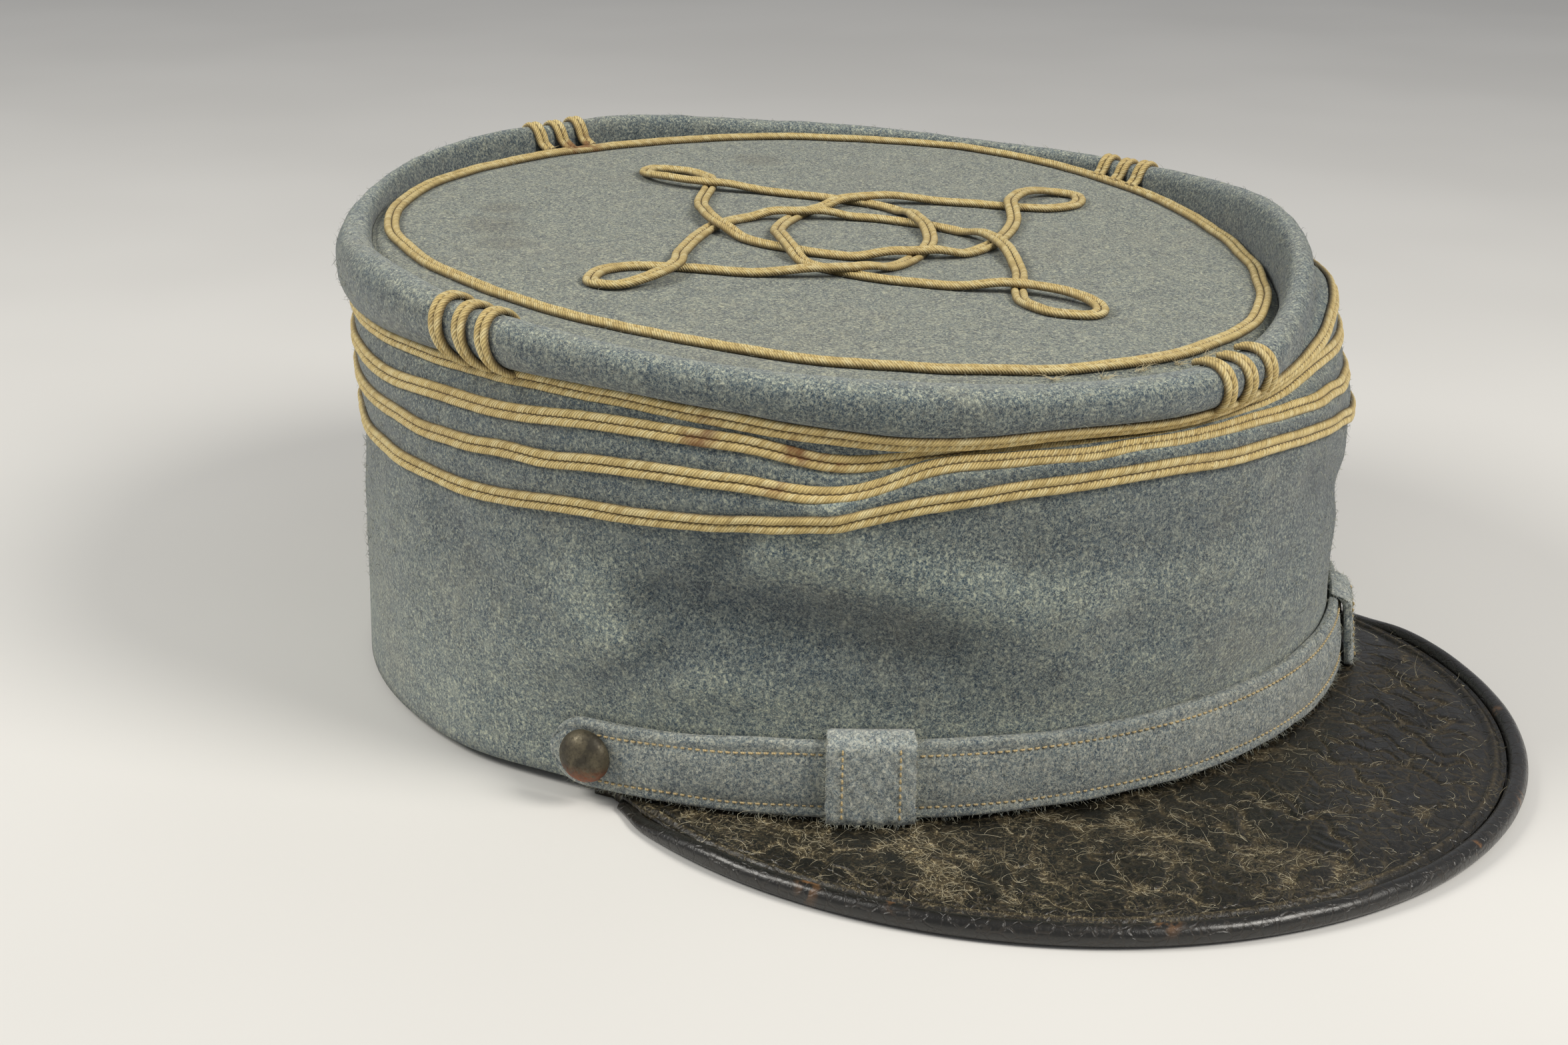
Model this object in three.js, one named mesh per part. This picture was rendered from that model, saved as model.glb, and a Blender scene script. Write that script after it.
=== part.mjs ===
// A wool kepi: a cloth crown with a rolled top edge, braid rows, a braid knot on the
// top disc, a cloth chin strap with two buttons, and a leather peak.
// The front (the peak) looks towards -Y, the wearer's left is +X, and +Z is up.
// A "turn" is an angle round the head's axis in degrees: 0 at the front, positive
// towards the wearer's left, so 90 is the left side and 180 the back.

import * as THREE from 'three';

// Driving sizes, in millimetres and degrees.
const HEM_LENGTH = 184;
const HEM_WIDTH = 184;
const HEM_FORWARD = 2.4;
const CROWN_HEIGHT = 74.8;
const TOP_RECESS = 1;
const TOP_PITCH = 3.05;
const TOP_ROLL = 0.36;
const HEM_PITCH = 0.93;
const CLOTH = 2;
const CROWN_LEAN = 5;
const LEAN_TURN = -125;
const FOLD_DEPTH = 5;
const SEAM_SPREAD = 14;
const CLEARANCE = 0.3;
const ROLL_HEIGHT = 0.62;
const CREST_IN = 0.45;
const UNDER_OUT = 0.7;
const UNDER_UP = 0.5;

const RING_LENGTH = HEM_LENGTH - 20;
const RING_WIDTH = HEM_WIDTH - 33.6;
const RING_EGG = 0.2;
const RING_EXPONENT = 2.08;
const BRAID_WIDTH = 2.6;
const BRAID_THICK = 1;
const BRAID_TOP_SHARE = 0.62;
const ROW_MARGIN = 0.1;
const UPRIGHT_GAP = 0.45;

const KNOT_REACH = 58.4;
const KNOT_X = 1.1;
const KNOT_Y = 1.4;
const KNOT_TWIST = 6.3;
const KNOT_STEP = 5;
const KNOT_CROSSING_GAP = 0.4;
const UPRIGHT_SPACING = 5.4;

const STRAP_HEIGHT = 12.6;
const STRAP_THICK = 2;
const STRAP_CENTRE = 4;
const STRAP_SPREAD = 69.5;
const STRAP_FADE = 16;
const STRAP_STEPS = 36;
const STRAP_BLUNT = 0.45;
const LOOP_WIDTH = 13.8;
const LOOP_THICK = 1.6;
const LOOP_SPREAD = 38;
const LOOP_OVERHANG = 1.6;
const LOOP_SLACK = 1;
const LOOP_STEPS = 4;
const BUTTON_INSET = 3.1;
const BUTTON_DIAMETER = 8.2;
const BUTTON_RISE = 3.4;
const BUTTON_FOOT = 0.86;
const BUTTON_RIM = 0.2;
const BUTTON_LATITUDES = [25, 50, 72];
const BUTTON_SIDES = 16;

const PEAK_HALF_WIDTH = 82;
const PEAK_ROOT = 56;
const PEAK_REACH = 139.8;
const PEAK_EXPONENT = 2;
const PEAK_THICK = 2.4;
const PEAK_TUCK = 6;
const PEAK_END_TURN = 63;
const PEAK_STEPS = 30;
const PEAK_SEARCH_STEPS = 40;
const BINDING_WIDTH = 3.4;
const BINDING_HEIGHT = 3.5;
const BINDING_END_TURN = 57;
const BINDING_STEPS = 40;

const COARSE_STEP = 6;
const FINE_STEP = 3.5;
const FINE_FROM = -56;
const FINE_TO = 28;

// Wall levels between the hem and the rolled edge. The height of a plain level is a
// share of CROWN_HEIGHT, a row's comes from STATIONS; the size is a share of the hem's
// radius, and the lean a share of CROWN_LEAN.
const LEVELS = [
  { name: 'hem', height: 0, size: 1, lean: 0 },
  { name: 'band', height: 0.18, size: 1, lean: 0 },
  { name: 'low', height: 0.3, size: 0.999, lean: 0 },
  { name: 'middle', height: 0.46, size: 0.997, lean: 0 },
  { name: 'row4', size: 0.992, lean: 0 },
  { name: 'row3', size: 0.985, lean: 0.16 },
  { name: 'row2', size: 0.977, lean: 0.33 },
  { name: 'row1', size: 0.968, lean: 0.52 },
  { name: 'roll', size: 0.974, lean: 1 },
];

// The crumple, a line for each turn. row4 to row1 and crest are heights as shares of
// CROWN_HEIGHT; tuck3 to tuck1 are how far a row is folded inwards and slump how far the
// rolled edge stands out, as shares of FOLD_DEPTH; seam is the distance from the ring
// braid to the disc's seam, as a share of SEAM_SPREAD.
const STATIONS = [
  { turn: -180, row4: 0.640, row3: 0.730, row2: 0.820, row1: 0.905, crest: 1.116, tuck3: 0, tuck2: 0, tuck1: 0, slump: 0.2, seam: 0.3 },
  { turn: -150, row4: 0.630, row3: 0.725, row2: 0.813, row1: 0.895, crest: 1.103, tuck3: 0, tuck2: 0, tuck1: 0, slump: -0.1, seam: 0.26 },
  { turn: -120, row4: 0.620, row3: 0.722, row2: 0.808, row1: 0.888, crest: 1.052, tuck3: 0, tuck2: 0, tuck1: 0, slump: -0.05, seam: 0.26 },
  { turn: -100, row4: 0.622, row3: 0.720, row2: 0.802, row1: 0.886, crest: 1.065, tuck3: 0, tuck2: 0, tuck1: 0.2, slump: 0.1, seam: 0.62 },
  { turn: -80, row4: 0.631, row3: 0.733, row2: 0.817, row1: 0.893, crest: 1.043, tuck3: 0, tuck2: 0.1, tuck1: 0.4, slump: 0.2, seam: 0.92 },
  { turn: -62, row4: 0.660, row3: 0.759, row2: 0.841, row1: 0.898, crest: 1.013, tuck3: 0, tuck2: 0.1, tuck1: 0.3, slump: 0.1, seam: 1.00 },
  { turn: -48, row4: 0.667, row3: 0.756, row2: 0.835, row1: 0.877, crest: 0.993, tuck3: 0, tuck2: 0.2, tuck1: 0.2, slump: 0.2, seam: 0.90 },
  { turn: -38, row4: 0.678, row3: 0.733, row2: 0.804, row1: 0.863, crest: 0.977, tuck3: 0.1, tuck2: 0.4, tuck1: 0.1, slump: 0.3, seam: 0.72 },
  { turn: -29, row4: 0.716, row3: 0.775, row2: 0.812, row1: 0.86, crest: 0.965, tuck3: 0.3, tuck2: 0.7, tuck1: 0, slump: 0.45, seam: 0.55 },
  { turn: -15, row4: 0.748, row3: 0.788, row2: 0.82, row1: 0.866, crest: 0.951, tuck3: 0.2, tuck2: 0.8, tuck1: 0, slump: 0.65, seam: 0.36 },
  { turn: 0, row4: 0.750, row3: 0.786, row2: 0.818, row1: 0.865, crest: 0.945, tuck3: 0.2, tuck2: 0.8, tuck1: 0, slump: 0.8, seam: 0.28 },
  { turn: 12, row4: 0.738, row3: 0.785, row2: 0.822, row1: 0.865, crest: 0.952, tuck3: 0.2, tuck2: 0.7, tuck1: 0, slump: 0.45, seam: 0.22 },
  { turn: 25, row4: 0.715, row3: 0.781, row2: 0.842, row1: 0.888, crest: 0.985, tuck3: 0, tuck2: 0.4, tuck1: 0, slump: -0.3, seam: 0.18 },
  { turn: 42, row4: 0.666, row3: 0.755, row2: 0.843, row1: 0.930, crest: 1.045, tuck3: 0, tuck2: 0, tuck1: 0, slump: -0.8, seam: 0.17 },
  { turn: 62, row4: 0.650, row3: 0.742, row2: 0.835, row1: 0.922, crest: 1.072, tuck3: 0, tuck2: 0, tuck1: 0, slump: -0.9, seam: 0.17 },
  { turn: 90, row4: 0.645, row3: 0.738, row2: 0.828, row1: 0.912, crest: 1.05, tuck3: 0, tuck2: 0, tuck1: 0, slump: -0.4, seam: 0.18 },
  { turn: 120, row4: 0.640, row3: 0.732, row2: 0.820, row1: 0.905, crest: 1.036, tuck3: 0, tuck2: 0, tuck1: 0, slump: 0.7, seam: 0.15 },
  { turn: 150, row4: 0.640, row3: 0.730, row2: 0.820, row1: 0.905, crest: 1.07, tuck3: 0, tuck2: 0, tuck1: 0, slump: 0.8, seam: 0.16 },
];

// Dents and bulges of the wall: the turn and height of the middle, how far it spreads
// each way, and its depth as a share of FOLD_DEPTH, negative where the cloth bulges.
const DENTS = [
  { turn: -36, spread: 20, height: 0.40, rise: 0.15, depth: 0.62 },
  { turn: -62, spread: 16, height: 0.46, rise: 0.2, depth: -0.25 },
  { turn: -37, spread: 9, height: 0.62, rise: 0.08, depth: -0.3 },
  { turn: 48, spread: 26, height: 0.37, rise: 0.17, depth: 0.65 },
  { turn: 55, spread: 42, height: 0.8, rise: 0.32, depth: 0.55 },
  { turn: -118, spread: 26, height: 0.25, rise: 0.5, depth: 0.2 },
];

// One quarter of the knot, from a loop's tip round to the next loop, in shares of
// KNOT_REACH. Back is +1 in "back", the wearer's left +1 in "left". The other quarters
// are this one turned. "over" is 1 where the strand passes over another, 0 under it.
const KNOT_QUARTER = [
  { left: 0.01, back: 1.02, over: 0.5 },
  { left: -0.06, back: 0.98, over: 0.6 },
  { left: -0.075, back: 0.88, over: 0.8 },
  { left: -0.015, back: 0.73, over: 1 },
  { left: 0.14, back: 0.58, over: 0.5 },
  { left: 0.31, back: 0.31, over: 0 },
  { left: 0.34, back: 0.15, over: 0.5 },
  { left: 0.28, back: 0, over: 1 },
  { left: 0.17, back: -0.17, over: 0.5 },
  { left: 0, back: -0.28, over: 0 },
  { left: -0.15, back: -0.325, over: 0.5 },
  { left: -0.31, back: -0.31, over: 1 },
  { left: -0.55, back: -0.17, over: 0.5 },
  { left: -0.73, back: 0.015, over: 0 },
  { left: -0.82, back: 0.085, over: 0 },
  { left: -0.93, back: 0.09, over: 0.3 },
];

// The four groups of uprights, each named for its side of the cap.
const UPRIGHT_GROUPS = [
  { side: 'front', turn: 7 },
  { side: 'left', turn: 100.5 },
  { side: 'back', turn: -172 },
  { side: 'right', turn: -78 },
];

const WOOL = new THREE.MeshStandardMaterial({ color: 0x76838e, roughness: 0.95, metalness: 0 });
const BRAID = new THREE.MeshStandardMaterial({ color: 0xa98f62, roughness: 0.7, metalness: 0 });
const LEATHER = new THREE.MeshStandardMaterial({ color: 0x1a1815, roughness: 0.4, metalness: 0 });
const METAL = new THREE.MeshStandardMaterial({ color: 0x5e564b, roughness: 0.55, metalness: 0.8 });

const rad = THREE.MathUtils.degToRad;
const lerp = THREE.MathUtils.lerp;
const cap = new THREE.Group();

function polar(turn, radius, z) {
  return new THREE.Vector3(radius * Math.sin(rad(turn)), -radius * Math.cos(rad(turn)), z);
}

// The hem is an oval that lies a little forward of the crown's axis.
function hemRadius(turn) {
  const across = Math.sin(rad(turn)) / (HEM_WIDTH / 2);
  const along = Math.cos(rad(turn)) / (HEM_LENGTH / 2);
  return 1 / Math.hypot(across, along) + HEM_FORWARD * Math.cos(rad(turn));
}

// The ring braid is an egg with its wide end at the back. Its width grows towards the
// back, so the radius is found in a few rounds.
function ringRadius(turn) {
  const half = RING_LENGTH / 2;
  let radius = half;
  for (let i = 0; i < 6; i += 1) {
    const back = (-radius * Math.cos(rad(turn))) / half;
    const halfWidth = (RING_WIDTH / 2) * (1 + RING_EGG * back);
    const across = Math.abs(Math.sin(rad(turn)) / halfWidth) ** RING_EXPONENT;
    const along = Math.abs(Math.cos(rad(turn)) / half) ** RING_EXPONENT;
    radius = (across + along) ** (-1 / RING_EXPONENT);
  }
  return radius;
}

// The plane of the top disc slopes down to the front, and the hem's up to it.
function topZ(x, y) {
  return CROWN_HEIGHT - TOP_RECESS + y * Math.tan(rad(TOP_PITCH)) - x * Math.tan(rad(TOP_ROLL));
}

function hemZ(turn) {
  const y = -hemRadius(turn) * Math.cos(rad(turn));
  return (hemRadius(180) - y) * Math.tan(rad(HEM_PITCH));
}

// 1 where the chin strap covers the hem, falling smoothly to 0 past its ends.
function strapCover(turn) {
  const away = THREE.MathUtils.euclideanModulo(turn - STRAP_CENTRE + 180, 360) - 180;
  const past = Math.abs(away) - STRAP_SPREAD;
  return 1 - THREE.MathUtils.smoothstep(past, 0, STRAP_FADE);
}

// A column of STATIONS at any turn, on a smooth closed curve through the table.
function station(name, turn) {
  const count = STATIONS.length;
  const t = THREE.MathUtils.euclideanModulo(turn + 180, 360) - 180;
  let i = count - 1;
  while (STATIONS[i].turn > t) i -= 1;
  const at = (k) => STATIONS[THREE.MathUtils.euclideanModulo(k, count)];
  const turnOf = (k) => at(k).turn + 360 * Math.floor(k / count);
  const slope = (k) => (at(k + 1)[name] - at(k - 1)[name]) / (turnOf(k + 1) - turnOf(k - 1));
  const span = turnOf(i + 1) - turnOf(i);
  const s = (t - turnOf(i)) / span;
  const ease = s * s * (3 - 2 * s);
  const rise = s * (1 - s) * ((1 - s) * slope(i) - s * slope(i + 1)) * span;
  return lerp(at(i)[name], at(i + 1)[name], ease) + rise;
}

// How far the cloth is pushed in at a turn and height.
function dentDepth(turn, z) {
  let depth = 0;
  for (const d of DENTS) {
    const away = THREE.MathUtils.euclideanModulo(turn - d.turn + 180, 360) - 180;
    const up = z / CROWN_HEIGHT - d.height;
    const share = Math.exp(-((away / d.spread) ** 2) - (up / d.rise) ** 2);
    depth += d.depth * FOLD_DEPTH * share;
  }
  return depth;
}

function levelRadius(level, turn) {
  const lean = level.lean * CROWN_LEAN * Math.cos(rad(turn - LEAN_TURN));
  return level.size * hemRadius(turn) + lean;
}

// The named points of the wall's outer face in the upright half-plane of one turn,
// as [radius, height].
function wallPoints(turn) {
  const points = {};
  for (const level of LEVELS) {
    const name = level.name;
    let radius = levelRadius(level, turn);
    let z = hemZ(turn) * (1 - (level.height ?? 0)) + (level.height ?? 0) * CROWN_HEIGHT;
    if (name.startsWith('row')) z = station(name, turn) * CROWN_HEIGHT;
    if (`tuck${name.slice(3)}` in STATIONS[0]) {
      radius -= station(`tuck${name.slice(3)}`, turn) * FOLD_DEPTH;
    }
    if (name !== 'roll') radius -= dentDepth(turn, z);
    if (name === 'hem' || name === 'band') radius -= strapCover(turn) * (STRAP_THICK + CLEARANCE);
    points[name] = [radius, z];
  }
  const seam = ringRadius(turn) + station('seam', turn) * SEAM_SPREAD;
  const seamAt = polar(turn, seam, 0);
  points.seam = [seam, topZ(seamAt.x, seamAt.y)];
  const crestZ = station('crest', turn) * CROWN_HEIGHT;
  const out = points.roll[0] + station('slump', turn) * FOLD_DEPTH;
  points.roll = [out, lerp(points.row1[1], crestZ, ROLL_HEIGHT)];
  points.crest = [lerp(out, seam, CREST_IN), crestZ];
  return points;
}

// A flat place on the wall for a row of braid: its two edges and its direction.
function rowFacet(points, below, name, above) {
  const along = [points[above][0] - points[below][0], points[above][1] - points[below][1]];
  const length = Math.hypot(along[0], along[1]);
  const dir = [along[0] / length, along[1] / length];
  const half = BRAID_WIDTH / 2 + ROW_MARGIN;
  const [r, z] = points[name];
  return { dir, r, z, low: [r - dir[0] * half, z - dir[1] * half], high: [r + dir[0] * half, z + dir[1] * half] };
}

// Points on a quarter of an ellipse from one point to another: it leaves the first
// upright or level and reaches the second the other way.
function quarter(from, to, leaveUpright, steps) {
  const points = [];
  for (let i = 1; i <= steps; i += 1) {
    const a = (i / steps) * (Math.PI / 2);
    const slow = 1 - Math.cos(a);
    const fast = Math.sin(a);
    points.push([
      lerp(from[0], to[0], leaveUpright ? slow : fast),
      lerp(from[1], to[1], leaveUpright ? fast : slow),
    ]);
  }
  return points;
}

function rowFacets(turn) {
  const p = wallPoints(turn);
  p.under = [lerp(p.row1[0], p.roll[0], UNDER_OUT), lerp(p.row1[1], p.roll[1], UNDER_UP)];
  return {
    row4: rowFacet(p, 'middle', 'row4', 'row3'),
    row3: rowFacet(p, 'row4', 'row3', 'row2'),
    row2: rowFacet(p, 'row3', 'row2', 'row1'),
    row1: rowFacet(p, 'row2', 'row1', 'under'),
  };
}

// The wall's outer face from the hem to the seam.
function wallOuter(turn) {
  const p = wallPoints(turn);
  const f = rowFacets(turn);
  return [
    p.hem, p.band, p.low, p.middle,
    f.row4.low, f.row4.high, f.row3.low, f.row3.high,
    f.row2.low, f.row2.high, f.row1.low, f.row1.high,
    ...quarter(f.row1.high, p.roll, false, 3),
    ...quarter(p.roll, p.crest, true, 3),
    ...quarter(p.crest, p.seam, false, 3),
  ];
}

// The wall's inner face from the seam back to the hem.
function wallInner(turn) {
  const p = wallPoints(turn);
  return [
    [p.seam[0], p.seam[1] - CLOTH],
    [p.seam[0] + CLOTH, p.seam[1] - CLOTH],
    [p.crest[0], p.crest[1] - CLOTH],
    [p.roll[0] - CLOTH, p.roll[1]],
    ...['row1', 'row2', 'row3', 'row4', 'middle', 'low', 'band', 'hem'].map((n) => [p[n][0] - CLOTH, p[n][1]]),
  ];
}

// The turns at which the crown is cut: closer together over the crumple.
function turnGrid() {
  const fineCount = Math.round((FINE_TO - FINE_FROM) / FINE_STEP);
  const coarseCount = Math.round((360 - FINE_TO + FINE_FROM) / COARSE_STEP);
  const turns = [];
  for (let i = 0; i < fineCount; i += 1) turns.push(lerp(FINE_FROM, FINE_TO, i / fineCount));
  for (let i = 0; i < coarseCount; i += 1) {
    turns.push(lerp(FINE_TO, FINE_FROM + 360, i / coarseCount));
  }
  return turns;
}
const TURNS = turnGrid();

// A mesh's geometry from its corners and triangles, turned so that it faces out.
function solid(corners, triangles) {
  let volume = 0;
  for (const [a, b, c] of triangles) {
    volume += corners[a].dot(new THREE.Vector3().crossVectors(corners[b], corners[c]));
  }
  const index = triangles.flatMap(([a, b, c]) => (volume < 0 ? [a, c, b] : [a, b, c]));
  const geometry = new THREE.BufferGeometry().setFromPoints(corners);
  geometry.setIndex(index);
  geometry.computeVertexNormals();
  return geometry;
}

// A skin over equal sections set one after another, closed into a ring or with both
// ends covered.
function loft(sections, ring) {
  const n = sections[0].length;
  const corners = sections.flat();
  const triangles = [];
  const steps = ring ? sections.length : sections.length - 1;
  for (let i = 0; i < steps; i += 1) {
    const a = i * n;
    const b = ((i + 1) % sections.length) * n;
    for (let j = 0; j < n; j += 1) {
      const k = (j + 1) % n;
      triangles.push([a + j, b + j, b + k], [a + j, b + k, a + k]);
    }
  }
  if (!ring) {
    const last = (sections.length - 1) * n;
    for (const [p, q, r] of endTriangles(sections[0])) triangles.push([p, q, r]);
    for (const [p, q, r] of endTriangles(sections.at(-1))) triangles.push([last + p, last + r, last + q]);
  }
  return solid(corners, triangles);
}

// Triangles that cover a flat section, in the section's own winding.
function endTriangles(section) {
  const origin = section[0];
  const u = new THREE.Vector3().subVectors(section[1], origin).normalize();
  const normal = new THREE.Vector3();
  section.forEach((p, i) => {
    const q = section[(i + 1) % section.length];
    normal.add(new THREE.Vector3().crossVectors(p.clone().sub(origin), q.clone().sub(origin)));
  });
  const v = new THREE.Vector3().crossVectors(normal.normalize(), u);
  const flat = section.map((p) => {
    const d = p.clone().sub(origin);
    return new THREE.Vector2(d.dot(u), d.dot(v));
  });
  return THREE.ShapeUtils.triangulateShape(flat, []);
}

function addPiece(name, geometry, material) {
  const mesh = new THREE.Mesh(geometry, material);
  mesh.name = name;
  cap.add(mesh);
  return mesh;
}

// The braid's section: a flat bar with bevelled top edges, as [across, up] pairs.
const BRAID_SECTION = [
  [-BRAID_WIDTH / 2, 0],
  [BRAID_WIDTH / 2, 0],
  [(BRAID_WIDTH / 2) * BRAID_TOP_SHARE, BRAID_THICK],
  [(-BRAID_WIDTH / 2) * BRAID_TOP_SHARE, BRAID_THICK],
];

function makeWall() {
  const sections = TURNS.map((turn) => [...wallOuter(turn), ...wallInner(turn)].map(([r, z]) => polar(turn, r, z)));
  addPiece('crown_wall', loft(sections, true), WOOL);
}

function makeTopDisc() {
  const corners = [new THREE.Vector3(0, 0, topZ(0, 0)), new THREE.Vector3(0, 0, topZ(0, 0) - CLOTH)];
  for (const turn of TURNS) {
    const edge = polar(turn, wallPoints(turn).seam[0] - CLEARANCE, 0);
    const z = topZ(edge.x, edge.y);
    corners.push(new THREE.Vector3(edge.x, edge.y, z), new THREE.Vector3(edge.x, edge.y, z - CLOTH));
  }
  const triangles = [];
  for (let i = 0; i < TURNS.length; i += 1) {
    const a = 2 + 2 * i;
    const b = 2 + 2 * ((i + 1) % TURNS.length);
    triangles.push([0, a, b], [1, b + 1, a + 1], [a, a + 1, b + 1], [a, b + 1, b]);
  }
  addPiece('crown_top', solid(corners, triangles), WOOL);
}

function makeRingBraid() {
  const sections = TURNS.map((turn) => BRAID_SECTION.map(([across, up]) => {
    const p = polar(turn, ringRadius(turn) + across, 0);
    return p.setZ(topZ(p.x, p.y) + CLEARANCE + up);
  }));
  addPiece('top_ring_braid', loft(sections, true), BRAID);
}

function makeRowBraids() {
  for (const row of [1, 2, 3, 4]) {
    const sections = TURNS.map((turn) => {
      const f = rowFacets(turn)[`row${row}`];
      return BRAID_SECTION.map(([across, up]) => polar(
        turn,
        f.r + f.dir[0] * across + f.dir[1] * (up + CLEARANCE),
        f.z + f.dir[1] * across - f.dir[0] * (up + CLEARANCE),
      ));
    });
    addPiece(`row_braid_${row}`, loft(sections, true), BRAID);
  }
}

// The knot's centre line as a closed smooth curve, with the lift kept as its height.
function knotCurve() {
  const points = [];
  for (let quarterTurn = 0; quarterTurn < 4; quarterTurn += 1) {
    for (const k of KNOT_QUARTER) {
      let [left, back] = [k.left, k.back];
      for (let i = 0; i < quarterTurn; i += 1) [left, back] = [-back, left];
      const x = KNOT_X + KNOT_REACH * (left * Math.cos(rad(KNOT_TWIST)) - back * Math.sin(rad(KNOT_TWIST)));
      const y = KNOT_Y + KNOT_REACH * (left * Math.sin(rad(KNOT_TWIST)) + back * Math.cos(rad(KNOT_TWIST)));
      points.push(new THREE.Vector3(x, y, k.over * (BRAID_THICK + KNOT_CROSSING_GAP)));
    }
  }
  return new THREE.CatmullRomCurve3(points, true, 'centripetal');
}

function makeKnot() {
  const curve = knotCurve();
  const steps = Math.round(curve.getLength() / KNOT_STEP);
  const sections = [];
  for (let i = 0; i < steps; i += 1) {
    const p = curve.getPointAt(i / steps);
    const t = curve.getTangentAt(i / steps);
    const side = new THREE.Vector2(-t.y, t.x).normalize();
    sections.push(BRAID_SECTION.map(([across, up]) => {
      const x = p.x + side.x * across;
      const y = p.y + side.y * across;
      return new THREE.Vector3(x, y, topZ(x, y) + CLEARANCE + p.z + up);
    }));
  }
  addPiece('crown_knot', loft(sections, true), BRAID);
}

// One upright: it starts above row 1, runs up over the rolled edge and ends just
// outside the seam.
function makeUpright(name, turn) {
  const p = wallPoints(turn);
  const f = rowFacets(turn).row1;
  const start = [f.high[0], f.high[1]];
  const outer = [...quarter(start, p.roll, false, 4), ...quarter(p.roll, p.crest, true, 3)];
  const inner = quarter(p.crest, p.seam, false, 4).slice(0, 3);
  const line = [...outer, ...inner];
  const sections = [];
  const middle = polar(turn, 1, 0);
  const side = new THREE.Vector3(-middle.y, middle.x, 0);
  line.forEach(([r, z], i) => {
    const [r0, z0] = line[Math.max(0, i - 1)];
    const [r1, z1] = line[Math.min(line.length - 1, i + 1)];
    const length = Math.hypot(r1 - r0, z1 - z0);
    const out = [(z1 - z0) / length, (r0 - r1) / length];
    sections.push(BRAID_SECTION.map(([across, up]) => {
      const lift = up + UPRIGHT_GAP;
      return polar(turn, r + out[0] * lift, z + out[1] * lift).addScaledVector(side, across);
    }));
  });
  addPiece(name, loft(sections, false), BRAID);
}

function makeUprights() {
  for (const group of UPRIGHT_GROUPS) {
    const radius = wallPoints(group.turn).roll[0];
    const step = THREE.MathUtils.radToDeg(UPRIGHT_SPACING / radius);
    for (const i of [1, 2, 3]) makeUpright(`${group.side}_braid_${i}`, group.turn + (i - 2) * step);
  }
}

// The wall's outer radius at any height between the hem and the middle of the wall.
function lowWallRadius(turn, z) {
  const p = wallPoints(turn);
  const line = [p.hem, p.band, p.low, p.middle];
  let i = 0;
  while (i < line.length - 2 && z > line[i + 1][1]) i += 1;
  const share = (z - line[i][1]) / (line[i + 1][1] - line[i][1]);
  return lerp(line[i][0], line[i + 1][0], share);
}

// The strap lies on the wall with its lower edge along the hem, and its ends are
// rounded round the buttons.
function makeStrap() {
  const sections = [];
  for (let i = 0; i <= STRAP_STEPS; i += 1) {
    const away = lerp(-STRAP_SPREAD, STRAP_SPREAD, i / STRAP_STEPS);
    const turn = STRAP_CENTRE + away;
    const fromEnd = rad(STRAP_SPREAD - Math.abs(away)) * hemRadius(turn);
    const half = STRAP_HEIGHT / 2;
    const inset = Math.max(0, half - fromEnd);
    const reach = Math.max(Math.sqrt(half * half - inset * inset), half * STRAP_BLUNT);
    const middle = hemZ(turn) + CLEARANCE + half;
    const section = [];
    for (const share of [-1, 0, 1]) {
      const z = middle + share * reach;
      section.push(polar(turn, lowWallRadius(turn, z) + CLEARANCE, z));
    }
    for (const share of [1, 0, -1]) {
      const z = middle + share * reach;
      section.push(polar(turn, lowWallRadius(turn, z) + CLEARANCE + STRAP_THICK, z));
    }
    sections.push(section);
  }
  addPiece('chin_strap', loft(sections, false), WOOL);
}

// A keeper over the strap: a plate outside it whose top edge turns in to the wall.
function makeStrapLoop(name, turn, standOff) {
  const halfTurn = THREE.MathUtils.radToDeg(LOOP_WIDTH / 2 / hemRadius(turn));
  const sections = [];
  for (let i = 0; i <= LOOP_STEPS; i += 1) {
    const t = turn + lerp(-halfTurn, halfTurn, i / LOOP_STEPS);
    const low = hemZ(t) + CLEARANCE;
    const strapTop = hemZ(t) + CLEARANCE + STRAP_HEIGHT;
    const top = strapTop + CLEARANCE + LOOP_OVERHANG;
    const wallOut = (z) => lowWallRadius(t, z) + CLEARANCE;
    const inner = (z) => wallOut(z) + STRAP_THICK + CLEARANCE + standOff;
    sections.push([
      [inner(low), low],
      [inner(low) + LOOP_THICK, low],
      [inner(top) + LOOP_THICK, top],
      [wallOut(top), top],
      [wallOut(top), strapTop + CLEARANCE],
      [inner(strapTop), strapTop + CLEARANCE],
    ].map(([r, z]) => polar(t, r, z)));
  }
  addPiece(name, loft(sections, false), WOOL);
}

function makeButton(name, turn) {
  const r = BUTTON_DIAMETER / 2;
  const profile = [[0, 0], [r * BUTTON_FOOT, 0], [r, BUTTON_RISE * BUTTON_RIM]];
  for (const a of BUTTON_LATITUDES) {
    profile.push([r * Math.cos(rad(a)), BUTTON_RISE * lerp(BUTTON_RIM, 1, Math.sin(rad(a)))]);
  }
  profile.push([0, BUTTON_RISE]);
  const z = hemZ(turn) + CLEARANCE + STRAP_HEIGHT / 2;
  const seat = lowWallRadius(turn, z) + CLEARANCE + STRAP_THICK + CLEARANCE * 2;
  const outline = profile.map(([x, y]) => new THREE.Vector2(x, y));
  const mesh = addPiece(name, new THREE.LatheGeometry(outline, BUTTON_SIDES), METAL);
  mesh.position.copy(polar(turn, seat, z));
  mesh.quaternion.setFromUnitVectors(new THREE.Vector3(0, 1, 0), polar(turn, 1, 0));
}

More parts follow.
